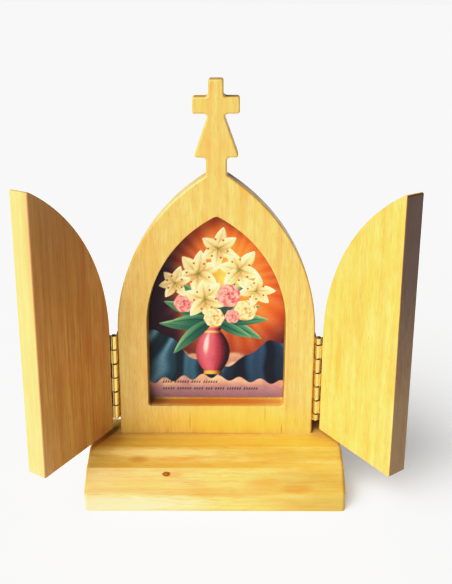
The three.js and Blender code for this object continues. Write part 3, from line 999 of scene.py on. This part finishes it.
    def caption(self, rows, code):
        """Rows of slanted strokes in place of words, all alike and evenly spaced, spelling nothing."""
        random = np.random.default_rng(21)
        for height, start, end in rows:
            up = smooth(self.z, height - 0.2, height + 0.3) * (1 - smooth(self.z, height + 1.8, height + 2.4))
            lean = 0.35 * (self.z - height)
            pen = start
            while pen < end:
                for _ in range(random.integers(3, 8)):
                    along = smooth(0.52 - np.abs(self.x - pen - lean), -0.2, 0.2)
                    self.lay(0.9 * along * up, code)
                    pen += 1.95
                pen += 1.5

    def varnish(self):
        """The broken touch of a brush, over everything."""
        touch = 1 + 0.035 * self.mottle(1.6, 12) + 0.03 * self.mottle(5, 13)
        self.ink *= touch[:, None]
        np.clip(self.ink, 0, 1, out=self.ink)


def paint_bouquet(x, z):
    """Lilies and roses in a vase on draped cloth, against a golden light above clouds."""
    picture = Painting(x, z)
    picture.glow((8, 98))
    picture.clouds()
    teal = ["#0E222E", "#1F414F", "#3B6272", "#658796", "#9DB6BC"]
    navy = ["#0B1422", "#16283E", "#27425A", "#456479", "#7592A0"]
    edge_left = 30 + 26 * smooth(-x, 10, 46) + 1.5 * np.sin(x * 0.35)
    edge_right = 28 + 20 * smooth(x, 8, 44) + 1.5 * np.sin(x * 0.3 + 2)
    hem_left = 19 + 2.2 * np.sin(x * 0.42) + 0.10 * x
    hem_right = 17 + 2.0 * np.sin(x * 0.38 + 1) - 0.08 * x
    left = smooth(edge_left - z, -0.5, 0.5) * smooth(z - hem_left, -0.5, 0.5) * smooth(-x, -6, -5)
    right = smooth(edge_right - z, -0.5, 0.5) * smooth(z - hem_right, -0.5, 0.5) * smooth(x, 1, 2)
    picture.cloth(right, (30, 92), navy, 17, 31)
    picture.cloth(left, (-20, 96), teal, 19, 32)
    vase = ["#2A0B14", "#6A1C2C", "#A83C48", "#D9707A", "#F6C2B4"]
    picture.vase((-3, 20), 42, vase)

    leaf = ["#0C2226", "#17403C", "#2F6450", "#5C8F66", "#9DBB86"]
    random = np.random.default_rng(4)
    for angle in (158, 196, 22, -14, 128, 52, 176, 4, 210, -30, 100, 74):
        reach = random.uniform(30, 42)
        picture.petal((-2, 66), angle, reach, reach * 0.25, leaf, random.uniform(-0.25, 0.25), 0.9, 0.4)
    pink = ["#5A1420", "#A23A44", "#D9696A", "#F2A190", "#FBD2BC"]
    peach = ["#7A3A1A", "#C0763A", "#E6AC6A", "#F7D49C", "#FDEBC8"]
    picture.rose((-25, 80), 9.5, pink, 41)
    picture.rose((22, 74), 10.5, peach, 42)
    for centre, size, turn, seed in (
        ((-14, 104), 20, 20, 51),
        ((17, 107), 19, 50, 52),
        ((1, 124), 17, 85, 53),
        ((30, 90), 15, 10, 54),
        ((-32, 96), 14, 70, 55),
        ((-9, 83), 19, 40, 56),
    ):
        picture.lily(centre, size, turn, seed)
    picture.rose((9, 86), 11.5, pink, 43)
    picture.rose((-2, 68), 9.5, peach, 44)
    picture.rose((12, 69), 7, pink, 45)
    picture.caption(((12.2, -42, -1), (6.4, -42, 23)), "#140B12")
    picture.varnish()
    return picture.ink


# ---------------------------------------------------------------- operators and what they build


def base_stations(base):
    """Places along the base for its rings, from end to end: (x, how far drawn in, tilt towards the end)."""
    half, radius = BASE_HIGH.x, base.end_easing
    end = []
    for share in rounding():
        angle = share * math.pi / 2
        x = -half + radius * (1 - math.cos(angle))
        end.append((x, radius * (1 - math.sin(angle)), share - 1))
    middle = [(x, 0, 0) for x in np.linspace(-half + radius, half - radius, 32)[1:-1]]
    return end + middle + [(-x, inset, -tilt) for x, inset, tilt in end[::-1]]


class TRIPTYCH_OT_base(bpy.types.Operator):
    """Build the sloped base block"""

    bl_idname = "triptych.base"
    bl_label = "Base"

    def execute(self, context):
        settings = context.scene.triptych
        base = settings.base
        skin = Skin()
        normals = outward(base_profile(base, 0))
        rings = []
        for x, inset, tilt in base_stations(base):
            plane = base_profile(base, inset)
            angle = tilt * math.pi / 2
            points = np.column_stack((np.full(len(plane), x), plane))
            tilted = np.column_stack((np.full(len(plane), math.sin(angle)), normals * math.cos(angle)))
            rings.append(skin.add(points, tilted))
        for near, far in zip(rings, rings[1:]):
            skin.bridge(near, far)
        for ring, side in ((rings[0], -1), (rings[-1], 1)):
            plane = np.array([skin.points[i] for i in ring])[:, 1:]
            skin.fill([(ring, plane)], end_at(side * BASE_HIGH.x), turned=side < 0)
        name, pith = "varnished_pine_base", (-150, 130)
        pine = varnished_pine(name, settings.finish, pith, seed=2.0, figure=0.5, coat=0.15, spots=BASE_SPOTS)
        make_piece("pine_base", skin, pine, "shrine", ["base"], lengthwise_grain)
        return {"FINISHED"}


def pocket_rings(skin, pocket):
    """Rings of the routed pocket, from the eased edge round its mouth to the fillet at its floor."""
    into = -outward(pocket_outline(pocket, 0))
    rings = []
    for share in rounding():
        angle = share * math.pi / 2
        plane = pocket_outline(pocket, pocket.mouth_easing * (1 - math.sin(angle)))
        depth = FRONT + pocket.mouth_easing * (1 - math.cos(angle))
        rings.append(skin.add(at_depth(plane, depth), facing(into, 1 - share)))
    for share in rounding():
        angle = share * math.pi / 2
        plane = pocket_outline(pocket, -pocket.floor_easing * (1 - math.cos(angle)))
        depth = FRONT + pocket.depth - pocket.floor_easing * (1 - math.sin(angle))
        rings.append(skin.add(at_depth(plane, depth), facing(into, share)))
    return rings


class TRIPTYCH_OT_arched_board(bpy.types.Operator):
    """Build the arched board with its cross and its routed pocket"""

    bl_idname = "triptych.arched_board"
    bl_label = "Arched board"

    def execute(self, context):
        settings = context.scene.triptych
        board, pocket = settings.board, settings.pocket
        skin = Skin()
        outline = board_outline(board)
        normals = outward(outline, ends=((0, 1), (0, -1)))
        foot = len(outline) - 1

        def drawn_in(inset):
            return outline - normals * inset

        rings = slab_rings(skin, drawn_in, normals, FRONT, BOARD_HIGH.y, board.easing)
        for near, far in zip(rings, rings[1:]):
            skin.bridge(far, near, flat=(foot,))

        holes = pocket_rings(skin, pocket)
        for near, far in zip(holes, holes[1:]):
            skin.bridge(near, far)
        skin.fill([plane_of(skin, holes[-1])], cap_at(FRONT + pocket.depth, -1))
        skin.fill([plane_of(skin, rings[0]), plane_of(skin, holes[0])], cap_at(FRONT, -1))
        skin.fill([plane_of(skin, rings[-1])], cap_at(BOARD_HIGH.y, 1), turned=True)
        name, pith = "varnished_pine_board", (-210, 90)
        pine = varnished_pine(name, settings.finish, pith, seed=5.0, figure=0.42, coat=0.5, spots=BOARD_SPOTS)
        make_piece("pine_arched_board", skin, pine, "shrine", ["arched_board"], upright_grain)
        return {"FINISHED"}


def card_skin(pocket):
    """The card, with a front of small quads that are fine enough to carry the print's colours."""
    outline = pocket_outline(pocket, -pocket.card_clearance)
    right = outline[outline[:, 0] >= 0]
    order = np.argsort(right[:, 1], kind="stable")
    low, high = CARD_LOW.z - LEDGE, outline[:, 1].max()
    levels = low + (high - low) * np.linspace(0, 1, CARD_ROWS + 1)
    widths = np.interp(levels, right[order, 1], right[order, 0])
    widths[-1] = 0.4 * MM
    shares = np.linspace(-1, 1, CARD_COLUMNS + 1)
    skin = Skin()
    grid = []
    for level, width in zip(levels, widths):
        plane = np.column_stack((shares * width, np.full(CARD_COLUMNS + 1, level)))
        grid.append(skin.add(at_depth(plane, CARD_LOW.y), (0, -1, 0)))
    for lower, upper in zip(grid, grid[1:]):
        for i in range(CARD_COLUMNS):
            skin.face((lower[i], lower[i + 1], upper[i + 1], upper[i]))
    up = [row[-1] for row in grid[1:]]
    down = [row[0] for row in grid[-2:0:-1]]
    rim = [*grid[0], *up, *grid[-1][-2::-1], *down]
    behind = np.array([skin.points[i] for i in rim])
    behind[:, 1] = CARD_HIGH.y
    back = skin.add(behind, (0, 1, 0))
    skin.bridge(back, rim, flat=range(len(rim)))
    skin.face(back[::-1])
    return skin


def lay_print(card, skin):
    """Paints the card's points, and gives them their places in mm for the coating."""
    points = np.array(skin.points) * TO_MM
    ink = paint_bouquet(points[:, 0], points[:, 2] - CARD_LOW.z * TO_MM)
    ink[points[:, 1] > CARD_LOW.y * TO_MM + 0.1] = linear(BARE_CARD)
    solid = np.column_stack((ink, np.ones(len(ink)))).astype(np.float32)
    colours = card.data.attributes.new("ink", "FLOAT_COLOR", "POINT")
    colours.data.foreach_set("color", solid.ravel())
    places = card.data.attributes.new("card_mm", "FLOAT_VECTOR", "POINT")
    places.data.foreach_set("vector", points.astype(np.float32).ravel())


class TRIPTYCH_OT_picture(bpy.types.Operator):
    """Build the printed card in the pocket"""

    bl_idname = "triptych.picture"
    bl_label = "Picture card"

    def execute(self, context):
        skin = card_skin(context.scene.triptych.pocket)
        paper = coated_print()
        card = make_piece("printed_card", skin, paper, "shrine", ["picture_card"])
        lay_print(card, skin)
        return {"FINISHED"}


def opened(joint):
    """Turns a shut wing about its hinge to where it stands at rest."""
    pivot = Matrix.Translation(Vector(joint["pos_m"]))
    swing = Matrix.Rotation(-math.radians(joint["range_deg"][0]), 4, Vector(joint["axis"]))
    return pivot @ swing @ pivot.inverted()


def door_outline_of(name, side, doors, board):
    """The outline of one of the shut doors, as a function of how far it is drawn in."""
    radius = doors.left_radius if name == "left" else doors.right_radius

    def outline(inset):
        right = door_outline(doors, board, radius, inset)
        return mirrored(right) if side < 0 else right

    return outline


class TRIPTYCH_OT_doors(bpy.types.Operator):
    """Build the two half-arch doors"""

    bl_idname = "triptych.doors"
    bl_label = "Doors"

    def execute(self, context):
        settings = context.scene.triptych
        doors, board = settings.doors, settings.board
        finish = settings.finish
        edge, plain = TO_MM * doors.meeting_gap / 2, (1, 1, 1)
        inner = TO_MM * 2 * (JOINTS["left_door_hinge"]["pos_m"][1] - FRONT)
        boards = {
            "left": {
                "pith": (-95, 120),
                "seed": 31.0,
                "figure": 1.2,
                "coat": 1.0,
                "spots": LEFT_DOOR_SPOTS,
                "painted_shades": (-edge, plain, inner, finish.pine_face_shade),
            },
            "right": {
                "pith": (160, -70),
                "seed": 49.0,
                "figure": 0.32,
                "coat": 0.4,
                "spots": RIGHT_DOOR_SPOTS,
                "painted_shades": (edge, finish.pine_edge_shade, inner, plain),
            },
        }
        for name, side in SIDES.items():
            joint = JOINTS[f"{name}_door_hinge"]
            inside_y = 2 * joint["pos_m"][1] - FRONT
            outline = door_outline_of(name, side, doors, board)
            normals = outward(outline(0))
            skin = Skin()
            near_y = inside_y - doors.thickness
            rings = slab_rings(skin, outline, normals, near_y, inside_y, doors.easing)
            for near, far in zip(rings, rings[1:]):
                skin.bridge(far, near)
            skin.fill([plane_of(skin, rings[0])], cap_at(near_y, -1))
            skin.fill([plane_of(skin, rings[-1])], cap_at(inside_y, 1), turned=True)
            pine = varnished_pine(f"varnished_pine_{name}_door", finish, **boards[name])
            body, nodes, place = f"{name}_wing", [f"{name}_door"], opened(joint)
            make_piece(f"{name}_pine_door", skin, pine, body, nodes, upright_grain, place)
        return {"FINISHED"}


def knuckle_spans(hinges, foot, top, first):
    """Heights of the knuckles from the top down; the first one's length is given."""
    spans = []
    knuckle = first
    while top - foot > hinges.gap:
        bottom = max(top - knuckle, foot)
        spans.append((bottom + hinges.gap / 2, top - hinges.gap / 2))
        top, knuckle = bottom, hinges.pitch
    return spans


class Leaf:
    """A hinge leaf, stamped from sheet as a comb and rolled round the pin. Its blank is flat in (along the
    sheet from its free edge, height), and bend() rolls it into (towards the middle, away from the pin)."""

    roll = 300
    fine = 0.45 * MM

    def __init__(self, hinges, foot, top, spans):
        self.hinges, self.foot, self.top, self.spans = hinges, foot, top, spans
        flat_away = hinges.offset - hinges.leaf / 2
        radius = hinges.barrel - hinges.leaf / 2
        sway = smooth(np.linspace(0, 1, 12), 0, 1)
        straight = [(flat_away, hinges.reach), (flat_away, hinges.notch + hinges.leaf)]
        neck = np.column_stack((
            flat_away + (radius - flat_away) * sway,
            (hinges.notch + hinges.leaf) * (1 - np.linspace(0, 1, 12)),
        ))
        path = np.vstack((straight, neck[1:], arc((0, 0), radius, 0, -self.roll, 60)[1:]))
        self.path = path
        self.lengths = np.append(0, np.cumsum(np.linalg.norm(np.diff(path, axis=0), axis=1)))
        tangents = np.gradient(path, self.lengths, axis=0)
        tangents[0] = tangents[1] = (0, -1)
        tangents /= np.linalg.norm(tangents, axis=1)[:, None]
        self.sides = np.column_stack((-tangents[:, 1], tangents[:, 0]))
        self.notch = hinges.reach - hinges.notch
        self.end = self.lengths[-1]

    def blank(self):
        """The outline of the comb, anticlockwise, with its tabs."""
        corners = [(0, self.foot), (self.notch, self.foot)]
        for bottom, top in sorted(self.spans):
            corners += [(self.notch, bottom), (self.end, bottom), (self.end, top), (self.notch, top)]
        corners += [(self.notch, self.top), (0, self.top)]
        kept = [c for i, c in enumerate(corners) if np.linalg.norm(np.subtract(c, corners[i - 1])) > HAIR]
        parts = []
        for start, end in zip(kept, kept[1:] + kept[:1]):
            steps = steps_over(np.linalg.norm(np.subtract(end, start)), self.fine)
            parts += [[start], between(start, end, steps)]
        return np.vstack(parts)

    def joint(self, plane):
        """How close points of the blank are to the end of a knuckle: 1 at the end, 0 away from it."""
        marks = 1 - smooth(self.from_ends(plane[:, 1]), 0.1 * MM, 0.9 * MM)
        return marks * (plane[:, 0] > self.notch - HAIR)

    def from_ends(self, heights):
        """How far heights are from the nearest end of a knuckle."""
        return np.min([np.abs(heights - end) for span in self.spans for end in span], axis=0)

    def bend(self, outer):
        """Rolls points of one side of the blank: the outer side of the barrel, or the inner one."""

        def rolled(plane):
            at = [np.interp(plane[:, 0], self.lengths, self.path[:, i]) for i in (0, 1)]
            side = np.column_stack([np.interp(plane[:, 0], self.lengths, self.sides[:, i]) for i in (0, 1)])
            side /= np.linalg.norm(side, axis=1)[:, None]
            worn = self.hinges.leaf / 2 - KNUCKLE_WEAR * self.joint(plane) ** 4
            offset = worn if outer else -self.hinges.leaf / 2
            place = np.column_stack(at) + side * np.reshape(offset, (-1, 1))
            sign = 1 if outer else -1
            return np.column_stack((place, plane[:, 1])), np.column_stack((sign * side, 0 * plane[:, 1]))

        return rolled


def leaf_skin(leaf, side, towards, pin, screws):
    """A rolled and drilled hinge leaf in the frame, shut. Countersinks open away from the wood."""
    skin = Skin()
    swap = side * towards > 0

    def placed(lift):
        def inner(plane):
            points, normals = lift(plane)
            mirror = np.array((-side, towards, 1))
            return points * mirror + (pin[0], pin[1], 0), normals * mirror

        return inner

    outer, inner = placed(leaf.bend(True)), placed(leaf.bend(False))
    blank = leaf.blank()
    loops = {True: [], False: []}
    for layer, lift, drill in ((True, outer, SCREW_HOLE), (False, inner, COUNTERSINK)):
        loops[layer].append((skin.add(*lift(blank)), blank))
        for height in screws:
            hole = arc((leaf.hinges.reach - leaf.hinges.screw_reach, height), drill, 0, 360, 24)[:-1]
            loops[layer].append((skin.add(*lift(hole)), hole))
        skin.fill(loops[layer], lift, 0.6 * MM, turned=layer != swap)
    for number, (over, under) in enumerate(zip(loops[True], loops[False])):
        near, far = (over[0], under[0]) if swap else (under[0], over[0])
        if number:
            near, far = far, near
        skin.bridge(near, far, flat=range(len(near)))
    return skin


def turned_skin(section, sides=32):
    """A round piece about +Z from its half section, smooth round each band and crisp between bands."""
    skin = Skin()
    angles = 2 * math.pi * np.arange(sides) / sides
    spokes = np.column_stack((np.cos(angles), np.sin(angles), np.zeros(sides)))
    rings = []
    for radius, height in section:
        points = spokes * radius + (0, 0, height)
        rings.append(skin.add(points if radius > 0 else points[:1], (0, 0, 1)))
    for (near, far), (r0, z0), (r1, z1) in zip(zip(rings, rings[1:]), section, section[1:]):
        slope = np.array((z1 - z0, r0 - r1)) / math.hypot(z1 - z0, r0 - r1)
        out = spokes * slope[0] + (0, 0, slope[1])
        for i in range(sides):
            k = (i + 1) % sides
            if len(near) == 1:
                skin.face((near[0], far[k], far[i]), own=out[[i, k, i]])
            elif len(far) == 1:
                skin.face((near[i], near[k], far[0]), own=out[[i, k, k]])
            else:
                skin.face((near[i], near[k], far[k], far[i]), own=out[[i, k, k, i]])
    return skin


def screw_heights(hinges, low, high):
    """Heights of a leaf's screws, from the bottom up, evenly round the middle of the hinge."""
    steps = np.arange(SCREWS_A_LEAF) - (SCREWS_A_LEAF - 1) / 2
    return [(low.z + high.z) / 2 + step * hinges.screw_pitch for step in steps]


def pin_skin(hinges, low, high):
    """A hinge pin with chamfered ends."""
    chamfer = 0.2 * MM
    section = [
        (0, low.z),
        (hinges.pin - chamfer, low.z),
        (hinges.pin, low.z + chamfer),
        (hinges.pin, high.z - chamfer),
        (hinges.pin - chamfer, high.z),
        (0, high.z),
    ]
    return turned_skin(section)


class TRIPTYCH_OT_hinges(bpy.types.Operator):
    """Build the leaves and pins of the two continuous hinges"""

    bl_idname = "triptych.hinges"
    bl_label = "Hinges"

    def execute(self, context):
        settings = context.scene.triptych
        hinges = settings.hinges
        brass, steel = rolled_brass(settings.finish), drawn_steel(settings.finish)
        firsts = {"left": hinges.left_knuckle, "right": hinges.right_knuckle}
        for name, side in SIDES.items():
            joint = JOINTS[f"{name}_door_hinge"]
            low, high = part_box(f"{name}_hinge_pin")
            spans = knuckle_spans(hinges, low.z, high.z, firsts[name])
            screws = screw_heights(hinges, low, high)
            for kind, towards, body in (("frame", 1, "shrine"), ("door", -1, f"{name}_wing")):
                leaf = Leaf(hinges, low.z, high.z, spans[(1 - towards) // 2 :: 2])
                skin = leaf_skin(leaf, side, towards, joint["pos_m"], screws)
                place = opened(joint) if kind == "door" else None
                piece, nodes = f"{name}_brass_{kind}_leaf", [f"{name}_hinge_{kind}_leaf"]
                obj = make_piece(piece, skin, brass, body, nodes, strip_grain, place)
                mark_joints(obj, skin, leaf, joint["pos_m"])
            place = Matrix.Translation((joint["pos_m"][0], joint["pos_m"][1], 0))
            pin = pin_skin(hinges, low, high)
            piece, nodes = f"{name}_steel_pin", [f"{name}_hinge_pin"]
            make_piece(piece, pin, steel, "shrine", nodes, strip_grain, place)
        return {"FINISHED"}


def strip_grain(points):
    """The rolling direction of the brass strip, and the drawing direction of the pin: along Z."""
    return points


def mark_joints(obj, skin, leaf, pin):
    """Marks where a leaf's knuckles end, for the tarnish in the joints."""
    points = np.array(skin.points)
    near_pin = np.hypot(points[:, 0] - pin[0], points[:, 1] - pin[1]) < leaf.hinges.barrel * 1.2
    marks = (1 - smooth(leaf.from_ends(points[:, 2]), 0.1 * MM, 0.55 * MM)) * near_pin
    attribute = obj.data.attributes.new("joint", "FLOAT", "POINT")
    attribute.data.foreach_set("value", marks.astype(np.float32))


class TRIPTYCH_OT_screws(bpy.types.Operator):
    """Build the slotted brass screws of the hinges"""

    bl_idname = "triptych.screws"
    bl_label = "Screws"

    def execute(self, context):
        settings = context.scene.triptych
        hinges = settings.hinges
        brass = turned_brass(settings.finish)
        random = np.random.default_rng(6)
        for name, side in SIDES.items():
            joint = JOINTS[f"{name}_door_hinge"]
            low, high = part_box(f"{name}_hinge_pin")
            pin = joint["pos_m"]
            face = pin[0] - side * (hinges.offset - hinges.leaf)
            for kind, towards, body in (("frame", 1, "shrine"), ("door", -1, f"{name}_wing")):
                for number, height in enumerate(screw_heights(hinges, low, high), 1):
                    seat = Matrix.Translation((face, pin[1] + towards * hinges.screw_reach, height))
                    spin = Matrix.Rotation(-side * math.pi / 2, 4, "Y")
                    spin = spin @ Matrix.Rotation(random.uniform(0, math.pi), 4, "Z")
                    place = seat @ spin if kind == "frame" else opened(joint) @ seat @ spin
                    node, skin = f"{name}_{kind}_screw_{number}", screw_skin(hinges)
                    piece = f"{node}_slotted"
                    screw = make_piece(piece, skin, brass, body, [node], strip_grain, place)
                    cut_slot(screw, place, hinges)
        return {"FINISHED"}


def screw_skin(hinges):
    """A countersunk wood screw: its face lies at the origin, and it runs up +Z to its point."""
    head, shank, leaf = hinges.screw_head, hinges.screw_shank, hinges.leaf
    land = 0.08 * MM
    tip = hinges.screw_length
    taper = tip - 2 * shank
    return turned_skin([(0, 0), (head, 0), (head, land), (shank, leaf), (shank, taper), (0, tip)])


def cut_slot(screw, place, hinges):
    """Cuts the driver's slot across a screw's head."""
    half_width, depth, over = 0.24 * MM, 0.42 * MM, 1.2 * hinges.screw_head
    x, y, z = np.meshgrid((-over, over), (-half_width, half_width), (-depth, depth), indexing="ij")
    corners = np.column_stack((x.ravel(), y.ravel(), z.ravel()))
    sides = [(0, 1, 3, 2), (4, 6, 7, 5), (0, 4, 5, 1), (2, 3, 7, 6), (0, 2, 6, 4), (1, 5, 7, 3)]
    mesh = bpy.data.meshes.new("slot")
    mesh.from_pydata(corners.tolist(), [], sides)
    cutter = bpy.data.objects.new("slot", mesh)
    cutter.matrix_world = place
    bpy.context.scene.collection.objects.link(cutter)
    modifier = screw.modifiers.new("slot", "BOOLEAN")
    modifier.operation, modifier.object, modifier.solver = "DIFFERENCE", cutter, "EXACT"
    bpy.context.view_layer.update()
    cut = bpy.data.meshes.new_from_object(screw.evaluated_get(bpy.context.evaluated_depsgraph_get()))
    screw.modifiers.clear()
    screw.data = cut
    bpy.data.objects.remove(cutter)
    bpy.data.meshes.remove(mesh)


class TRIPTYCH_OT_stage(bpy.types.Operator):
    """Set up the floor, the studio lights and the camera"""

    bl_idname = "triptych.stage"
    bl_label = "Stage"

    def execute(self, context):
        settings = context.scene.triptych
        stage = settings.stage
        scene = context.scene
        build_floor(settings.finish)
        build_lights(stage)
        data = bpy.data.cameras.new("front_view")
        data.lens = stage.lens
        data.sensor_width = 36
        data.shift_x, data.shift_y = stage.shift_x, stage.shift_y
        data.clip_start, data.clip_end = 0.01, 100
        camera = bpy.data.objects.new("front_view", data)
        place = Matrix.Translation((stage.camera_x, stage.camera_y, stage.camera_z))
        turn = Matrix.Rotation(-stage.yaw, 4, "Z") @ Matrix.Rotation(math.pi / 2 - stage.pitch, 4, "X")
        camera.matrix_world = place @ turn @ Matrix.Rotation(stage.roll, 4, "Z")
        scene.collection.objects.link(camera)
        scene.camera = camera
        soften_highlights(scene.view_settings)
        return {"FINISHED"}


def build_floor(finish):
    """A plain pale floor that runs far past the view: opal acrylic with a little light from below, as a
    light table has, which keeps the shadows pale."""
    reach = 40.0
    corners = [(-reach, -reach, 0), (reach, -reach, 0), (reach, reach, 0), (-reach, reach, 0)]
    mesh = bpy.data.meshes.new("floor")
    mesh.from_pydata(corners, [], [(0, 1, 2, 3)])
    floor = bpy.data.objects.new("floor", mesh)
    material, _, shader = new_material("opal_acrylic", Roughness=0.9, Specular_IOR_Level=0.2)
    shader.inputs["Base Color"].default_value = opaque(finish.floor)
    shader.inputs["Emission Color"].default_value = (1, 1, 1, 1)
    shader.inputs["Emission Strength"].default_value = finish.floor_glow
    mesh.materials.append(material)
    bpy.context.scene.collection.objects.link(floor)


def build_lights(stage):
    """A wide soft box from the front left, so far away that it lights the whole floor, in a studio with a
    pale wall all round and a dim ceiling."""
    data = bpy.data.lights.new("soft_box", "SUN")
    data.energy, data.angle = stage.key, stage.key_width
    lamp = bpy.data.objects.new("soft_box", data)
    turn, rise = stage.key_bearing, stage.key_height
    away = Vector((math.sin(turn) * math.cos(rise), -math.cos(turn) * math.cos(rise), math.sin(rise)))
    lamp.rotation_euler = away.to_track_quat("Z", "Y").to_euler()
    bpy.context.scene.collection.objects.link(lamp)
    world = bpy.data.worlds.new("studio")
    world.use_nodes = True
    tree = world.node_tree
    background = tree.nodes["Background"]
    background.inputs["Color"].default_value = (1, 1, 1, 1)
    place = add(tree, "ShaderNodeTexCoord", output="Generated")
    height = add(tree, "ShaderNodeSeparateXYZ", (place,), output="Z")
    sockets = (height, 0.04, 0.14, stage.wall, stage.ceiling)
    glow = add(tree, "ShaderNodeMapRange", sockets, interpolation_type="SMOOTHSTEP")
    tree.links.new(glow, background.inputs["Strength"])
    bpy.context.scene.world = world


def soften_highlights(view):
    """Plain sRGB display with a film's curve: a slight toe, and the brightest light rolled off."""
    view.view_transform = "Standard"
    view.use_curve_mapping = True
    mapping = view.curve_mapping
    mapping.white_level = (2, 2, 2)
    curve = mapping.curves[3]
    curve.points[1].location = (1, 1)
    for light, shown in FILM:
        curve.points.new(light / 2, shown)
    mapping.update()


OPERATORS = (
    TRIPTYCH_OT_base,
    TRIPTYCH_OT_arched_board,
    TRIPTYCH_OT_picture,
    TRIPTYCH_OT_doors,
    TRIPTYCH_OT_hinges,
    TRIPTYCH_OT_screws,
    TRIPTYCH_OT_stage,
)


class TRIPTYCH_PT_panel(bpy.types.Panel):
    """The operators, in the order that they are run"""

    bl_idname = "TRIPTYCH_PT_panel"
    bl_label = "Triptych"
    bl_space_type = "VIEW_3D"
    bl_region_type = "UI"
    bl_category = "Triptych"

    def draw(self, context):
        for operator in OPERATORS:
            self.layout.operator(operator.bl_idname)


CLASSES = (
    TriptychBase,
    TriptychBoard,
    TriptychPocket,
    TriptychDoors,
    TriptychHinges,
    TriptychFinish,
    TriptychStage,
    TriptychSettings,
    *OPERATORS,
    TRIPTYCH_PT_panel,
)


def register():
    """Registers the classes and the scene's settings."""
    for cls in CLASSES:
        bpy.utils.register_class(cls)
    bpy.types.Scene.triptych = PointerProperty(type=TriptychSettings)


def unregister():
    """Takes the settings and the classes away again."""
    del bpy.types.Scene.triptych
    for cls in reversed(CLASSES):
        bpy.utils.unregister_class(cls)


def main():
    """Builds everything in order."""
    register()
    bpy.ops.triptych.base()
    bpy.ops.triptych.arched_board()
    bpy.ops.triptych.picture()
    bpy.ops.triptych.doors()
    bpy.ops.triptych.hinges()
    bpy.ops.triptych.screws()
    bpy.ops.triptych.stage()


if __name__ == "__main__":
    main()
